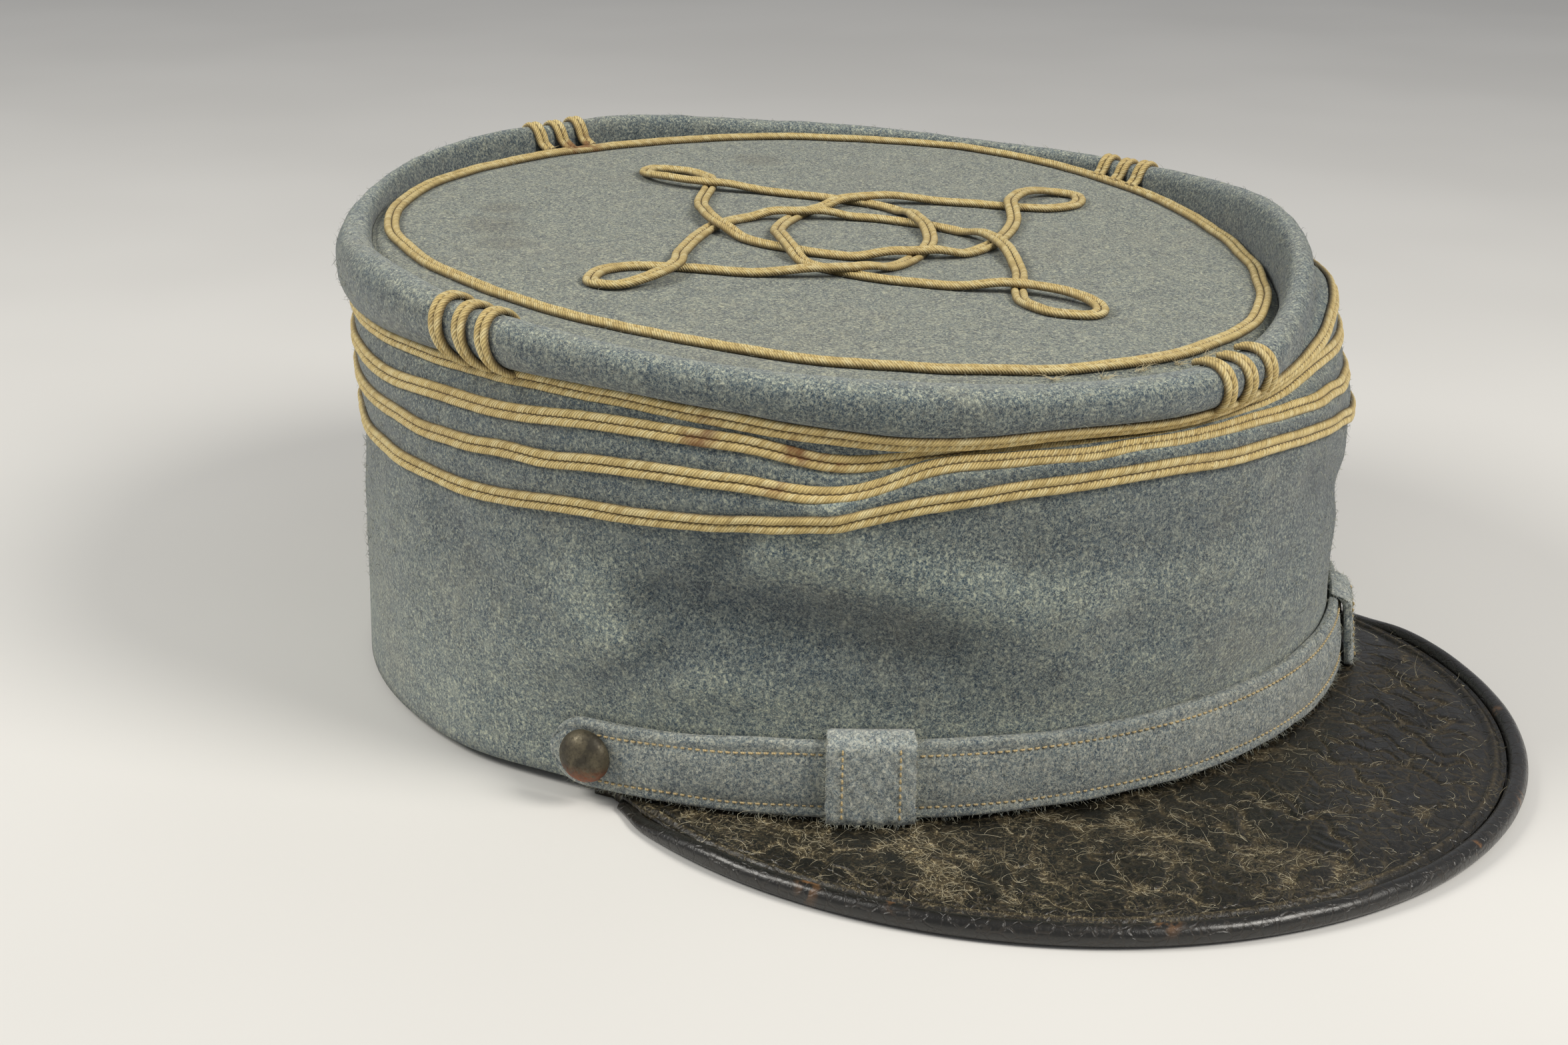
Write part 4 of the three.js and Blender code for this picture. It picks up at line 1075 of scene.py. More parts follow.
# %% The knot
path, even = knot_path(BRAID_STEP)
over = path[:, 2] / KNOT_LIFT
climb = OVER_CLIMB * ease(0.45, 0.93, over)
x, y = path[:, 0], path[:, 1]
centre = np.stack([x, y, top_cloth_z(x, y) + 0.12 + climb], -1)
forward = ring_heading(centre)
sideways = unit(np.cross(forward, TOP_FACING))
face_up = np.cross(sideways, forward)
braid_piece("knot_braid_cord", "crown_knot", centre, sideways, face_up, even, True)
print("The knot's strand is", round(even[-1]), "mm long,",
      triangle_counts["knot_braid_cord"], "triangles")

# %% [markdown]
# Three short lengths at the front, back and both sides run up over the roll. Each
# follows the cloth's outer line at its own turn. Its ends are raw, so small tufts of
# loose thread are added there later. The group on the wearer's right has slipped a
# little, so that its lower ends lie nearer to the front.

# %% Uprights over the roll
UPRIGHT_SPACING = {"front": 6.3, "left": 5.4, "back": 5.4, "right": 5.4}
SLANT = {"front": 0.5, "left": 0.0, "back": 1.5, "right": 2.2}
END_ON_TOP = {"front": -0.9, "left": 2.0, "back": 3.0, "right": 0.6}
upright_ends = []


def upright_line(turns, on_top):
    """The cloth's outer line, a step for each turn, then a short way in over the top,
    unless it ends on the roll."""
    grids = cloth_outer(turns)
    share = np.linspace(0, 1, len(turns))
    steps = lerp(ROW_STEP[1] + 1.2, 71.6 if on_top > 0 else 70.0, share)
    index = np.arange(grids.shape[1])
    line = np.stack([[np.interp(s, index, grids[k, :, c]) for c in (0, 1)]
                     for k, s in enumerate(steps)])
    rough = polar(turns, line[:, 0], line[:, 1])
    if on_top <= 0:
        return rough
    inner = polar(turns[-1:], line[-1:, 0] - on_top, 0.0)
    inner[:, 2] = top_cloth_z(inner[:, 0], inner[:, 1]) + 0.1
    return np.vstack([rough, inner])


for side_name, group_turn in UPRIGHT_GROUPS.items():
    roll_radius = float(wall_points(np.array([group_turn]))["roll"][0, 0])
    for number in (1, 2, 3):
        beside = (number - 2) * UPRIGHT_SPACING[side_name]
        middle_turn = group_turn + math.degrees(beside / roll_radius)
        turns = middle_turn + SLANT[side_name] * (1 - np.linspace(0, 1, 30)) ** 2
        rough = upright_line(turns, END_ON_TOP[side_name] + 0.3 * math.sin(5 * middle_turn))
        length = lengths_of(rough)
        even = np.arange(0, length[-1], BRAID_STEP)
        centre = np.stack([np.interp(even, length, rough[:, k]) for k in range(3)], -1)
        for _ in range(10):
            centre[1:-1] = 0.5 * centre[1:-1] + 0.25 * (centre[:-2] + centre[2:])
        forward = unit(np.gradient(centre, axis=0))
        out = unit(np.cross(polar(np.array(group_turn - 90.0), 1.0, 0.0), forward))
        out = out * np.sign((out[:10] * polar(np.array(group_turn), 1.0, 0.0)).sum())
        sideways = np.cross(forward, out)
        braid_piece(f"{side_name}_braid_cord_{number}", f"{side_name}_braid_{number}", centre,
                    sideways, out, even, False, lift=0.2)
        upright_ends += [(centre[0], -forward[0], out[0]), (centre[-1], forward[-1], out[-1])]
print(len(upright_ends), "raw ends of braid")

# %% [markdown]
# The chin strap is a folded band of the same cloth with its cut edges left raw. Its
# lower edge runs along the hem and its ends are rounded round the buttons. A rounded
# section is carried round the wall: it starts at the inside, goes over the top edge and
# down the outside, which is slightly pillowed between its two lines of stitches.

# %% The wall under the strap
def low_wall_radius(turn, z):
    """The wall's outer radius at a height: straight lines between its lower points."""
    p = wall_points(turn)
    chain = np.stack([p[name] for name in ("hem", "band", "low", "middle")])
    radius = chain[0, ..., 0]
    for (r0, z0), (r1, z1) in zip(np.moveaxis(chain[:-1], -1, 1), np.moveaxis(chain[1:], -1, 1)):
        share = np.clip((z - z0) / (z1 - z0), 0, 1)
        radius = radius + (r1 - r0) * share
    return radius


# Height share (-1 low edge, 1 top edge) and how far out, as a share of the thickness.
STRAP_SECTION = np.array([
    [-0.97, 0.05], [-0.7, 0.0], [0.0, 0.0], [0.7, 0.0], [0.95, 0.05], [1.0, 0.25], [1.0, 0.5],
    [0.985, 0.74], [0.94, 0.88], [0.86, 0.94], [0.76, 0.93], [0.69, 0.86], [0.64, 0.90],
    [0.56, 1.0], [0.42, 1.07], [0.2, 1.1], [0.0, 1.12], [-0.2, 1.12], [-0.42, 1.09],
    [-0.58, 1.02], [-0.66, 0.94], [-0.70, 0.90], [-0.76, 0.98], [-0.88, 1.04], [-0.95, 0.99],
    [-0.99, 0.82], [-1.0, 0.5], [-1.0, 0.22]])
STRAP_COLUMNS = 320
STRAP_BLUNT = 0.36
STRAP_END = STRAP_SPREAD + 1.5
STRAP_SAG = 0.9


def strap_frame(turn):
    """The strap's middle height and half height at a turn. At the ends the half height
    is that of a circle: the root of half squared minus inset squared. On the wearer's
    right the worn edge has sagged a little."""
    sag = STRAP_SAG * ease(-42, -56, turn)
    half = (STRAP_HEIGHT - sag) / 2
    from_end = np.radians(STRAP_END - np.abs(turn - STRAP_CENTRE)) * hem_radius(turn)
    inset = np.clip(half - from_end, 0, half)
    reach = np.maximum(np.sqrt(half ** 2 - inset ** 2), half * STRAP_BLUNT)
    return hem_z(turn) + CLEARANCE + half, reach


def capped(rows, columns):
    """Faces of a closed section carried along a path, with both ends covered."""
    end = np.arange(columns)[None]
    return [grid_faces(rows, columns, False, True), end, (rows - 1) * columns + end[:, ::-1]]


# %% [markdown]
# The strap's columns lie closer together at its ends, where it is rounded. It is a
# little uneven in height and thickness, and it never goes through the table.

# %% The chin strap
share = np.linspace(-1, 1, STRAP_COLUMNS)
away = STRAP_END * np.sign(share) * (1 - (1 - np.abs(share)) ** 1.15)
strap_turn = STRAP_CENTRE + away
middle, reach = strap_frame(strap_turn)
uneven = 1 + 0.015 * ripples(strap_turn, 0.0, 41, 7, 5, 30)
z = middle[:, None] + STRAP_SECTION[:, 0] * (reach * uneven)[:, None]
wall = low_wall_radius(strap_turn[:, None], z)
swell = 1 + 0.05 * ripples(strap_turn[:, None], z, 43, 8, 5, 22)
puff = np.where(STRAP_SECTION[:, 1] > 0.8, swell, 1.0)
z = np.maximum(z, 0.35)
radius = wall + CLEARANCE - 0.05 + STRAP_SECTION[:, 1] * STRAP_THICK * puff
strap_points = polar(strap_turn[:, None], radius, z)
strap = new_piece("strap_cloth", strap_points, capped(*z.shape), STRAP_WOOL)
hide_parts("chin_strap")
print("The strap is", round(STRAP_HEIGHT, 1), "mm high,",
      triangle_counts["strap_cloth"], "triangles")

# %% [markdown]
# Two keepers hold the strap down. Each is a short patch over the strap whose upper end
# turns in to the wall, where it is caught by the needle. The left one has stretched and
# stands off a little.

# %% Strap keepers
LOOP_WIDTH, LOOP_THICK, LOOP_SPREAD, LOOP_OVERHANG, LOOP_SLACK = 13.8, 1.5, 38.0, 1.5, 0.2
LOOP_COLUMNS, LOOP_UP = 40, 12


def loop_line(turn, stand_off, overhang):
    """Outer and inner line of a keeper as (radius, height): up the outside, then in over
    the strap's top edge on a quarter ellipse, and back down the inside."""
    low = hem_z(turn) + CLEARANCE
    strap_top = low + STRAP_HEIGHT
    top = strap_top + CLEARANCE + overhang
    inner = STRAP_THICK + 2 * CLEARANCE + stand_off + 0.12
    share = np.linspace(0, 1, LOOP_UP)
    up = np.stack([np.full(LOOP_UP, inner + LOOP_THICK), lerp(low, top - 2.2, share)], -1)
    over = quarter(up[-1:], np.array([[0.35, top]]), True, 7)[0]
    back = quarter(np.array([[0.35, strap_top + 0.35]]), np.array([[inner, top - 3.0]]),
                   False, 5)[0]
    down = np.stack([np.full(9, inner), lerp(top - 3.0, low, np.linspace(0, 1, 10)[1:])], -1)
    line = np.vstack([up, over, back, down])
    line[:, 0] += low_wall_radius(np.full(len(line), turn), line[:, 1])
    line[:LOOP_UP, 0] += 0.14 * np.sin(3.1 * turn + line[:LOOP_UP, 1] * 1.3)
    return line


def loop_piece(name, node, turn, stand_off, overhang):
    """Carries the line over the keeper's width. Its sides are thinned and frayed."""
    half = math.degrees(LOOP_WIDTH / 2 / float(hem_radius(np.array(turn))))
    turns = np.linspace(turn - half, turn + half, LOOP_COLUMNS)
    lines = np.stack([loop_line(t, stand_off, overhang) for t in turns])
    edge = ease(0, 0.06, 0.5 - np.abs(np.linspace(-0.5, 0.5, LOOP_COLUMNS)))[:, None]
    middle_line = lines.mean(axis=1, keepdims=True)
    lines[..., 0] = lerp(lerp(lines[..., 0], middle_line[..., 0], 0.12), lines[..., 0], edge)
    frayed = turns[:, None] + 0.09 * np.sin(lines[..., 1] * 4.1 + turn) * (1 - edge)
    points = polar(frayed, lines[..., 0], lines[..., 1])
    piece = new_piece(name, points, capped(*lines.shape[:2]), KEEPER_WOOL_PAINTED_LIGHT)
    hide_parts(node)
    return points


keepers = [loop_piece("keeper_right", "strap_loop_right", STRAP_CENTRE - LOOP_SPREAD, 0.0,
                      LOOP_OVERHANG),
           loop_piece("keeper_left", "strap_loop_left", STRAP_CENTRE + LOOP_SPREAD, LOOP_SLACK,
                      0.1)]
print("A keeper has", triangle_counts["keeper_left"], "triangles")

# %% [markdown]
# Tan thread holds the strap together: one line of stitches near each edge, and two
# upright lines on each keeper. A stitch is a short bowed tube, thin where it dives into
# the cloth. All stitches are one array, because they differ only in place and heading.

# %% Stitches
STITCH_PITCH, STITCH_LENGTH, STITCH_WIDTH = 1.2, 0.86, 0.36
STITCH_TOP, STITCH_LOW, STITCH_SEAT, STITCH_INSET = 0.665, -0.70, 0.93, 4.2
THREAD, tree, shader, place = new_material("sewing_thread", Roughness=0.7, Specular_IOR_Level=0.3)
look = use(tree, thread_look, {
    "Count": tone_of(tree), "Lane": 3.0, "Ground": srgb(212, 190, 142),
    "Dark": srgb(144, 120, 80), "Light": srgb(246, 232, 194), "Unevenness": 0.5})
dirt_and_fold_shade = use(tree, patches, {"Place": place, "Size": 120.0, "Low": 0.45, "High": 0.6})["Mask"]
tree.links.new(mixed(tree, times(tree, dirt_and_fold_shade, 0.3), look["Colour"], srgb(122, 118, 100)),
               shader.inputs["Base Color"])
bumped(tree, shader, look["Height"], 0.4, 0.05)


def many_tubes(count, rings, sides):
    """Faces of many short closed tubes, numbered one after another."""
    first = (np.arange(count) * rings * sides)[:, None]
    sleeve = (grid_faces(rings, sides, False, True).ravel() + first).reshape(-1, 4)
    end = np.arange(sides)
    return [sleeve, end + first, (rings - 1) * sides + end[::-1] + first]


def stitches(middles, alongs, outs):
    """Six corners round each of four rings: the middle plus a share of the length along,
    plus the bow outwards, plus the thread's radius times a cosine and a sine."""
    share = np.array([-0.5, -0.24, 0.24, 0.5])
    bow, thick = np.array([-0.10, 0.07, 0.07, -0.10]), np.array([0.5, 1, 1, 0.5]) * STITCH_WIDTH / 2
    angle = np.radians(np.arange(6) * 60 - 90)
    across = np.cross(alongs, outs)
    line = (middles[:, None] + alongs[:, None] * (share * STITCH_LENGTH)[:, None]
            + outs[:, None] * bow[:, None])
    spun = across[:, None] * np.cos(angle)[:, None] + outs[:, None] * np.sin(angle)[:, None]
    count = np.broadcast_to(share[:, None] * STITCH_LENGTH * 3 + np.arange(6) / 6,
                            (len(middles), 4, 6))
    return line[:, :, None] + spun[:, None] * thick[:, None, None], count


def upright_unit(count):
    return np.tile([0.0, 0.0, 1.0], (count, 1))


sewn = []
for height_share in (STITCH_TOP, STITCH_LOW):
    turn = np.arange(STRAP_CENTRE - STRAP_END + STITCH_INSET,
                     STRAP_CENTRE + STRAP_END - STITCH_INSET, STITCH_PITCH / MM_PER_TURN)
    middle, reach = strap_frame(turn)
    z = middle + height_share * reach + 0.10 * ripples(turn, 0.0, 61, 6, 6, 30)
    seat = low_wall_radius(turn, z) + CLEARANCE - 0.05 + STITCH_SEAT * STRAP_THICK
    askew = upright_unit(len(turn)) * 0.06 * np.sin(turn * 9.1)[:, None]
    heading = polar(turn + 90.0, 1.0, 0.0) + askew
    sewn.append(stitches(polar(turn, seat, z), heading, polar(turn, 1.0, 0.0)))
for points in keepers:
    for column in (7, LOOP_COLUMNS - 8):
        line = points[column, :LOOP_UP]
        even = np.arange(line[0, 2] + 1.2, line[-1, 2] + 0.3, STITCH_PITCH)
        middles = np.stack([np.interp(even, line[:, 2], line[:, k]) for k in (0, 1)] + [even], -1)
        outs = middles * [1, 1, 0] / np.linalg.norm(middles[:, :2], axis=1, keepdims=True)
        sewn.append(stitches(middles + outs * 0.05, upright_unit(len(even)), outs))
sewn_points, sewn_tone = [np.concatenate([item[k] for item in sewn]) for k in (0, 1)]
new_piece("strap_stitches", sewn_points, many_tubes(len(sewn_points), 4, 6), THREAD,
          tone=sewn_tone.ravel())
print(len(sewn_points), "stitches of",
      triangle_counts["strap_stitches"] // len(sewn_points), "triangles")

# %% [markdown]
# The strap's ends are held by two small domed buttons. Their gilding is long gone: what
# is left is dull grey-brown metal with rust at the lower edge. A button is a profile
# spun round its own axis, which points straight out from the wall.

# %% Button material and shape
BUTTON, tree, shader, place = new_material("dull_button", Specular_IOR_Level=0.5)
worn = use(tree, patches, {"Place": place, "Size": 260.0, "Low": 0.42, "High": 0.62})["Mask"]
grain = noise(tree, place, 1500.0, 4.0, 0.7)
colour = mixed(tree, worn, srgb(70, 66, 57), srgb(102, 95, 78))
colour = mixed(tree, eased(tree, grain, 0.55, 0.75, 0.0, 0.5), colour, srgb(40, 34, 29))
rusty = times(tree, eased(tree, part_of(tree, place, 2), 0.0085, 0.0045),
              eased(tree, grain, 0.35, 0.55))
colour = mixed(tree, times(tree, rusty, 0.85), colour, srgb(148, 78, 38))
tree.links.new(colour, shader.inputs["Base Color"])
tree.links.new(eased(tree, grain, 0.3, 0.7, 0.38, 0.72), shader.inputs["Roughness"])
tree.links.new(sums(tree, "MULTIPLY_ADD", rusty, -0.6, 0.65), shader.inputs["Metallic"])
bumped(tree, shader, grain, 0.35, 0.12)

BUTTON_DIAMETER, BUTTON_RISE, BUTTON_INSET, BUTTON_SIDES = 8.9, 3.6, 3.1, 72
# Radius and height as shares: the turned-in foot, the edge, then the dome.
dome = np.radians(np.linspace(4, 84, 14))
BUTTON_PROFILE = np.vstack([[[0.86, 0.0], [0.95, 0.03], [0.99, 0.10]],
                            np.stack([np.cos(dome), 0.16 + 0.84 * np.sin(dome)], -1)])


def button_piece(name, node, turn):
    """Spins the profile round the line that points straight out at the turn."""
    turn = np.array(turn)
    z = float(hem_z(turn) + CLEARANCE + STRAP_HEIGHT / 2)
    seat = float(low_wall_radius(turn, np.array(z))) + CLEARANCE * 3 + STRAP_THICK + 0.1
    out, side = polar(turn, 1.0, 0.0), polar(turn + 90.0, 1.0, 0.0)
    around = np.linspace(0, 2 * np.pi, BUTTON_SIDES, endpoint=False)
    r = BUTTON_PROFILE[:, :1] * BUTTON_DIAMETER / 2
    h = BUTTON_PROFILE[:, 1:] * BUTTON_RISE
    circle = (np.cos(around)[None, :, None] * side
              + np.sin(around)[None, :, None] * np.array([0, 0, 1.0]))
    base = polar(turn, seat, z)
    grid = base + circle * r[..., None] + out * h[..., None]
    poles = np.stack([base, base + out * BUTTON_RISE])
    piece = new_piece(name, np.vstack([grid.reshape(-1, 3), poles]),
                      spun_faces(len(BUTTON_PROFILE), BUTTON_SIDES), BUTTON)
    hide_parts(node)


button_piece("button_dome_right", "button_right", STRAP_CENTRE - STRAP_SPREAD + BUTTON_INSET)
button_piece("button_dome_left", "button_left", STRAP_CENTRE + STRAP_SPREAD - BUTTON_INSET)

# %% [markdown]
# The peak is a plate of black leather, glossy once and now crazed and dusty. Old
# lacquered leather dries into islands: their middles still shine, the cracks between
# them are matt, and pale dust has settled there. The big cracks are part of the peak's
# shape, so their mask comes in from outside. The group adds the dust and the small
# cracks, for which a texture of cells gives the distance to the nearest cell's edge,
# and that makes a net of lines. The binding uses the same group with smaller cells.

# %% Crazed leather
crazed, given, made = new_group(
    "crazed_leather",
    [("Place", "Vector", None), ("Cells", "Float", 300.0), ("Crack", "Float", 0.0),
     ("Black", "Color", None), ("Brown", "Color", None), ("Dust", "Color", None),
     ("Dustiness", "Float", 0.5)],
    [("Colour", "Color", None), ("Roughness", "Float", None), ("Height", "Float", None)])
wobble = put(crazed, "ShaderNodeTexNoise",
             {"Vector": given["Place"], "Scale": 260.0, "Detail": 3.0}).outputs["Color"]
drift = put(crazed, "ShaderNodeVectorMath", {0: wobble, 1: (0.004, 0.004, 0.0), 2: given["Place"]},
            operation="MULTIPLY_ADD").outputs[0]
net = put(crazed, "ShaderNodeTexVoronoi", {"Vector": drift, "Scale": given["Cells"]},
          feature="DISTANCE_TO_EDGE")
fine_crack = eased(crazed, net.outputs["Distance"], 0.10, 0.0)
pores = noise(crazed, given["Place"], 1900.0, 3.0, 0.7)
streaks = hairs(crazed, drift, 520.0, 0.016, 1.2)
dust_lie = use(crazed, patches, {"Place": given["Place"], "Size": 60.0, "Low": 0.40,
                                 "High": 0.64})["Mask"]
broken_up = eased(crazed, noise(crazed, given["Place"], 420.0, 3.0, 0.7), 0.36, 0.56)
near_crack = times(crazed, given["Crack"], broken_up)
in_net = times(crazed, fine_crack, sums(crazed, "MULTIPLY_ADD", dust_lie, 0.45, 0.15))
brown_share = larger(crazed, times(crazed, near_crack, 0.85), in_net)
colour = mixed(crazed, brown_share, given["Black"], given["Brown"])
speck = eased(crazed, pores, 0.50, 0.68)
dust_share = times(crazed, speck, larger(crazed, near_crack, times(crazed, dust_lie, 0.3)))
in_streaks = times(crazed, streaks, sums(crazed, "MULTIPLY_ADD", dust_lie, 0.4, 0.06))
dust_share = larger(crazed, dust_share, in_streaks)
dust_share = times(crazed, dust_share, given["Dustiness"])
crazed.links.new(mixed(crazed, dust_share, colour, given["Dust"]), made["Colour"])
rough = sums(crazed, "MULTIPLY_ADD", brown_share, 0.35, 0.27)
rough = sums(crazed, "MULTIPLY_ADD", dust_lie, 0.16, rough)
rough = sums(crazed, "MULTIPLY_ADD", dust_share, 0.5, rough)
crazed.links.new(sums(crazed, "MINIMUM", rough, 0.95), made["Roughness"])
valley = sums(crazed, "MULTIPLY_ADD", fine_crack, -0.6, times(crazed, near_crack, -0.5))
crazed.links.new(sums(crazed, "MULTIPLY_ADD", pores, 0.5, valley), made["Height"])


def leather(name, cells, black, brown, dust, dustiness, strength, coat, worn=()):
    """Leather that reads its big cracks from the points' tone and takes its pattern from
    the place. It is dustier on the wearer's right."""
    material, tree, shader, place = new_material(
        name, Specular_IOR_Level=0.5, Coat_Weight=coat, Coat_Roughness=0.22)
    dusty_side = eased(tree, part_of(tree, place, 0), -0.065, 0.030, dustiness, 0.22 * dustiness)
    out = use(tree, crazed, {"Place": place, "Cells": cells, "Crack": tone_of(tree),
                             "Black": black, "Brown": brown, "Dust": dust,
                             "Dustiness": dusty_side})
    colour = out["Colour"]
    if worn:
        uneven = eased(tree, noise(tree, place, 420.0, 3.0), 0.42, 0.55)
        rubbed = times(tree, spots(tree, place, worn), uneven)
        colour = mixed(tree, rubbed, colour, srgb(132, 94, 56))
    tree.links.new(colour, shader.inputs["Base Color"])
    tree.links.new(out["Roughness"], shader.inputs["Roughness"])
    bumped(tree, shader, out["Height"], strength, 0.30)
    return material


WORN_BINDING = [(-72, -90.3, 2.5, 3.6), (-65.6, -101.9, 2.5, 2.6), (-36.9, -128.1, 2.5, 2.8),
                (20, -136.5, 2.5, 1.8), (-28, -131.5, 2.0, 2.0), (40, -129.0, 2.5, 2.0),
                (64, -104.0, 2.5, 1.8)]
PEAK_LEATHER = leather("peak_leather", 330.0, srgb(20, 19, 15), srgb(74, 63, 42),
                       srgb(196, 180, 140), 1.0, 0.6, 0.14)
BINDING_LEATHER = leather("binding_leather", 420.0, srgb(20, 19, 16), srgb(46, 37, 27),
                          srgb(120, 104, 78), 0.2, 0.6, 0.45, WORN_BINDING)
print("Two leathers from one group")

# %% [markdown]
# Seen from above, the peak's outer edge is half an ellipse in front of a root line and
# straight behind it. Its radius at a turn is found in one step, by solving a quadratic.

# %% The peak's outline
PEAK_HALF_WIDTH, PEAK_ROOT, PEAK_REACH, PEAK_THICK = 82.0, 56.0, 139.8, 2.4
PEAK_TUCK, PEAK_END_TURN = 6.0, 63.0
BINDING_WIDTH, BINDING_HEIGHT, BINDING_END_TURN = 3.4, 3.5, 57.0


def peak_radius(turn):
    """The radius r with (r sine / half width) squared plus ((r cosine - root) / depth)
    squared equal to 1; behind the root line only the first term counts."""
    s, c, depth = np.abs(sind(turn)), cosd(turn), PEAK_REACH - PEAK_ROOT
    a = (s / PEAK_HALF_WIDTH) ** 2 + (c / depth) ** 2
    b = -2 * c * PEAK_ROOT / depth ** 2
    k = (PEAK_ROOT / depth) ** 2 - 1
    r = (-b + np.sqrt(b * b - 4 * a * k)) / (2 * a)
    return np.where(r * c >= PEAK_ROOT, r, PEAK_HALF_WIDTH / np.maximum(s, 1e-6))


# %% [markdown]
# The cracks of the peak are the borders between cells. Some seeds are strewn over
# the plate, closer together round the head than from hem to edge, so the islands are
# long that way. A point belongs to its nearest seed. Where the second nearest is as
# close, there is a crack, and its depth falls off with the difference of the two
# distances. Round each seed run fine crinkles, like the rays of a shell.

# %% Islands and cracks
ISLANDS = 150
ISLAND_STRETCH = 0.46
CRACK_WIDTH, CRACK_DEPTH, CRINKLE_DEPTH, CRINKLE_RAYS = 0.55, 0.36, 0.13, 17


def island_relief(around, outwards):
    """Crack mask and crinkle height for points at a length round the plate and a
    distance outwards, both in mm. The points are first pushed about by a few waves, so
    that the borders between islands are not straight."""
    draw = np.random.default_rng(77)
    seeds = np.stack([draw.uniform(around.min(), around.max(), ISLANDS),
                      draw.uniform(0, 62, ISLANDS)], -1)
    x = (around + 1.3 * np.sin(outwards / 2.7 + around / 7.0)
         + 0.7 * np.sin(outwards / 1.1 + around / 2.3))
    y = (outwards + 1.5 * np.sin(around / 3.1 + 1.0)
         + 0.8 * np.sin(around / 1.3 - outwards / 2.0))
    dx = x[..., None] - seeds[:, 0]
    dy = (y[..., None] - seeds[:, 1]) * ISLAND_STRETCH
    away = np.hypot(dx, dy)
    nearest = np.argmin(away, axis=-1)[..., None]
    two = np.partition(away, 1, axis=-1)[..., :2]
    crack = np.exp(-((two[..., 1] - two[..., 0]) / CRACK_WIDTH) ** 2)
    angle = np.arctan2(np.take_along_axis(dy, nearest, -1),
                       np.take_along_axis(dx, nearest, -1))[..., 0]
    strong = ease(0.8, 3.5, two[..., 0]) * (1 - crack) * ((nearest[..., 0] * 7) % 5 / 4.0)
    rays = np.sin(CRINKLE_RAYS * angle + nearest[..., 0] * 2.1
                  + 0.8 * np.sin(two[..., 0] * 1.7)) * strong
    return crack, rays


# %% [markdown]
# The plate is a grid from the tucked root out to the binding, then back underneath. The
# relief fades out at the hem and at the edge, where the sewing of the binding presses
# two grooves with a ridge between them.

# %% The peak
PEAK_COLUMNS, PEAK_ROWS = 520, 130
# Distance from the edge, depth and width of each, in mm; a negative depth is a ridge.
GROOVES = [(0.55, 0.30, 0.55), (1.75, -0.30, 0.55), (3.05, 0.30, 0.50)]
peak_turn = np.linspace(-PEAK_END_TURN, PEAK_END_TURN, PEAK_COLUMNS)
root = hem_radius(peak_turn) - PEAK_TUCK
edge = np.maximum(peak_radius(peak_turn) - BINDING_WIDTH - CLEARANCE,
                  hem_radius(peak_turn) - PEAK_TUCK / 2)
thick = np.minimum(PEAK_THICK, hem_z(peak_turn) - CLEARANCE)
share = 1 - (1 - np.linspace(0, 1, PEAK_ROWS)) ** 1.25
top_r = lerp(root[:, None], edge[:, None], share[None, :])
x, y = top_r * sind(peak_turn)[:, None], -top_r * cosd(peak_turn)[:, None]
from_edge = edge[:, None] - top_r
beyond_hem = top_r - hem_radius(peak_turn)[:, None]
open_leather = ease(2.5, 9.0, beyond_hem) * ease(3.6, 7.5, from_edge)
buckle = (0.30 * np.sin(x / 13.0 + 0.6) * np.cos(y / 17.0)
          + 0.18 * np.sin(x / 6.1 - y / 9.0)) * open_leather
crack, rays = island_relief(np.radians(peak_turn)[:, None] * (top_r * 0.5 + 50), beyond_hem)
seam_lines = sum(depth * np.exp(-((from_edge - middle) / width) ** 2)
                 for middle, depth, width in GROOVES)
crack_mask = crack * ease(3.2, 5.0, from_edge)
seam_wear = 0.75 * np.exp(-((from_edge - 1.75) / 0.45) ** 2)
crazing = 0.55 - CRACK_DEPTH * crack + CRINKLE_DEPTH * rays
relief = buckle + open_leather * crazing - seam_lines * ease(0.5, 2.0, beyond_hem)
bottom_r = np.stack([edge, lerp(root, edge, 0.66), lerp(root, edge, 0.33), root], -1)
radius = np.concatenate([top_r, edge[:, None] + 0.05, bottom_r], axis=1)
z = np.concatenate([thick[:, None] + relief, thick[:, None] * 0.5,
                    np.full(bottom_r.shape, 0.02)], axis=1)
tone = np.zeros(z.shape)
tone[:, :PEAK_ROWS] = np.maximum(crack_mask, seam_wear)
peak_points = polar(peak_turn[:, None], radius, z)
peak = new_piece("peak_plate", peak_points, capped(*z.shape), PEAK_LEATHER,
                 tone=tone.ravel())
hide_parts("peak")
print("The peak reaches", round(float((edge * cosd(peak_turn)).max()), 1),
      "mm forward of the axis and has", triangle_counts["peak_plate"], "triangles")

# %% [markdown]
# A strip of thinner leather is rolled round the peak's edge and sewn down. Its section
# is flat underneath and round above. Towards both ends it thins and draws in, so that it
# slips under the strap.

# %% The binding
BINDING_COLUMNS, BINDING_ARC = 460, 17
binding_turn = np.linspace(-BINDING_END_TURN - 2.0, BINDING_END_TURN + 2.0, BINDING_COLUMNS)
thinning = 1 - 0.62 * ease(46.0, 58.5, np.abs(binding_turn))
outer_r = peak_radius(binding_turn) - 1.5 * ease(55.0, 59.0, np.abs(binding_turn))
arc = np.linspace(-0.28, 0.94, BINDING_ARC) * np.pi
lumps = 1 + 0.03 * ripples(binding_turn, 0.0, 51, 8, 5, 26)
half_width, half_height = BINDING_WIDTH / 2, BINDING_HEIGHT / 2
into = np.concatenate([half_width * (1 - np.cos(arc)), [BINDING_WIDTH * 0.99, BINDING_WIDTH * 0.6]])
rise = np.concatenate([half_height * (1.0 + np.sin(arc)), [0.05, 0.02]])
rise = np.clip(rise, 0.02, None)
radius = outer_r[:, None] - into[None, :]
z = rise[None, :] * np.where(rise > 0.6, (lumps * thinning)[:, None], 1.0)
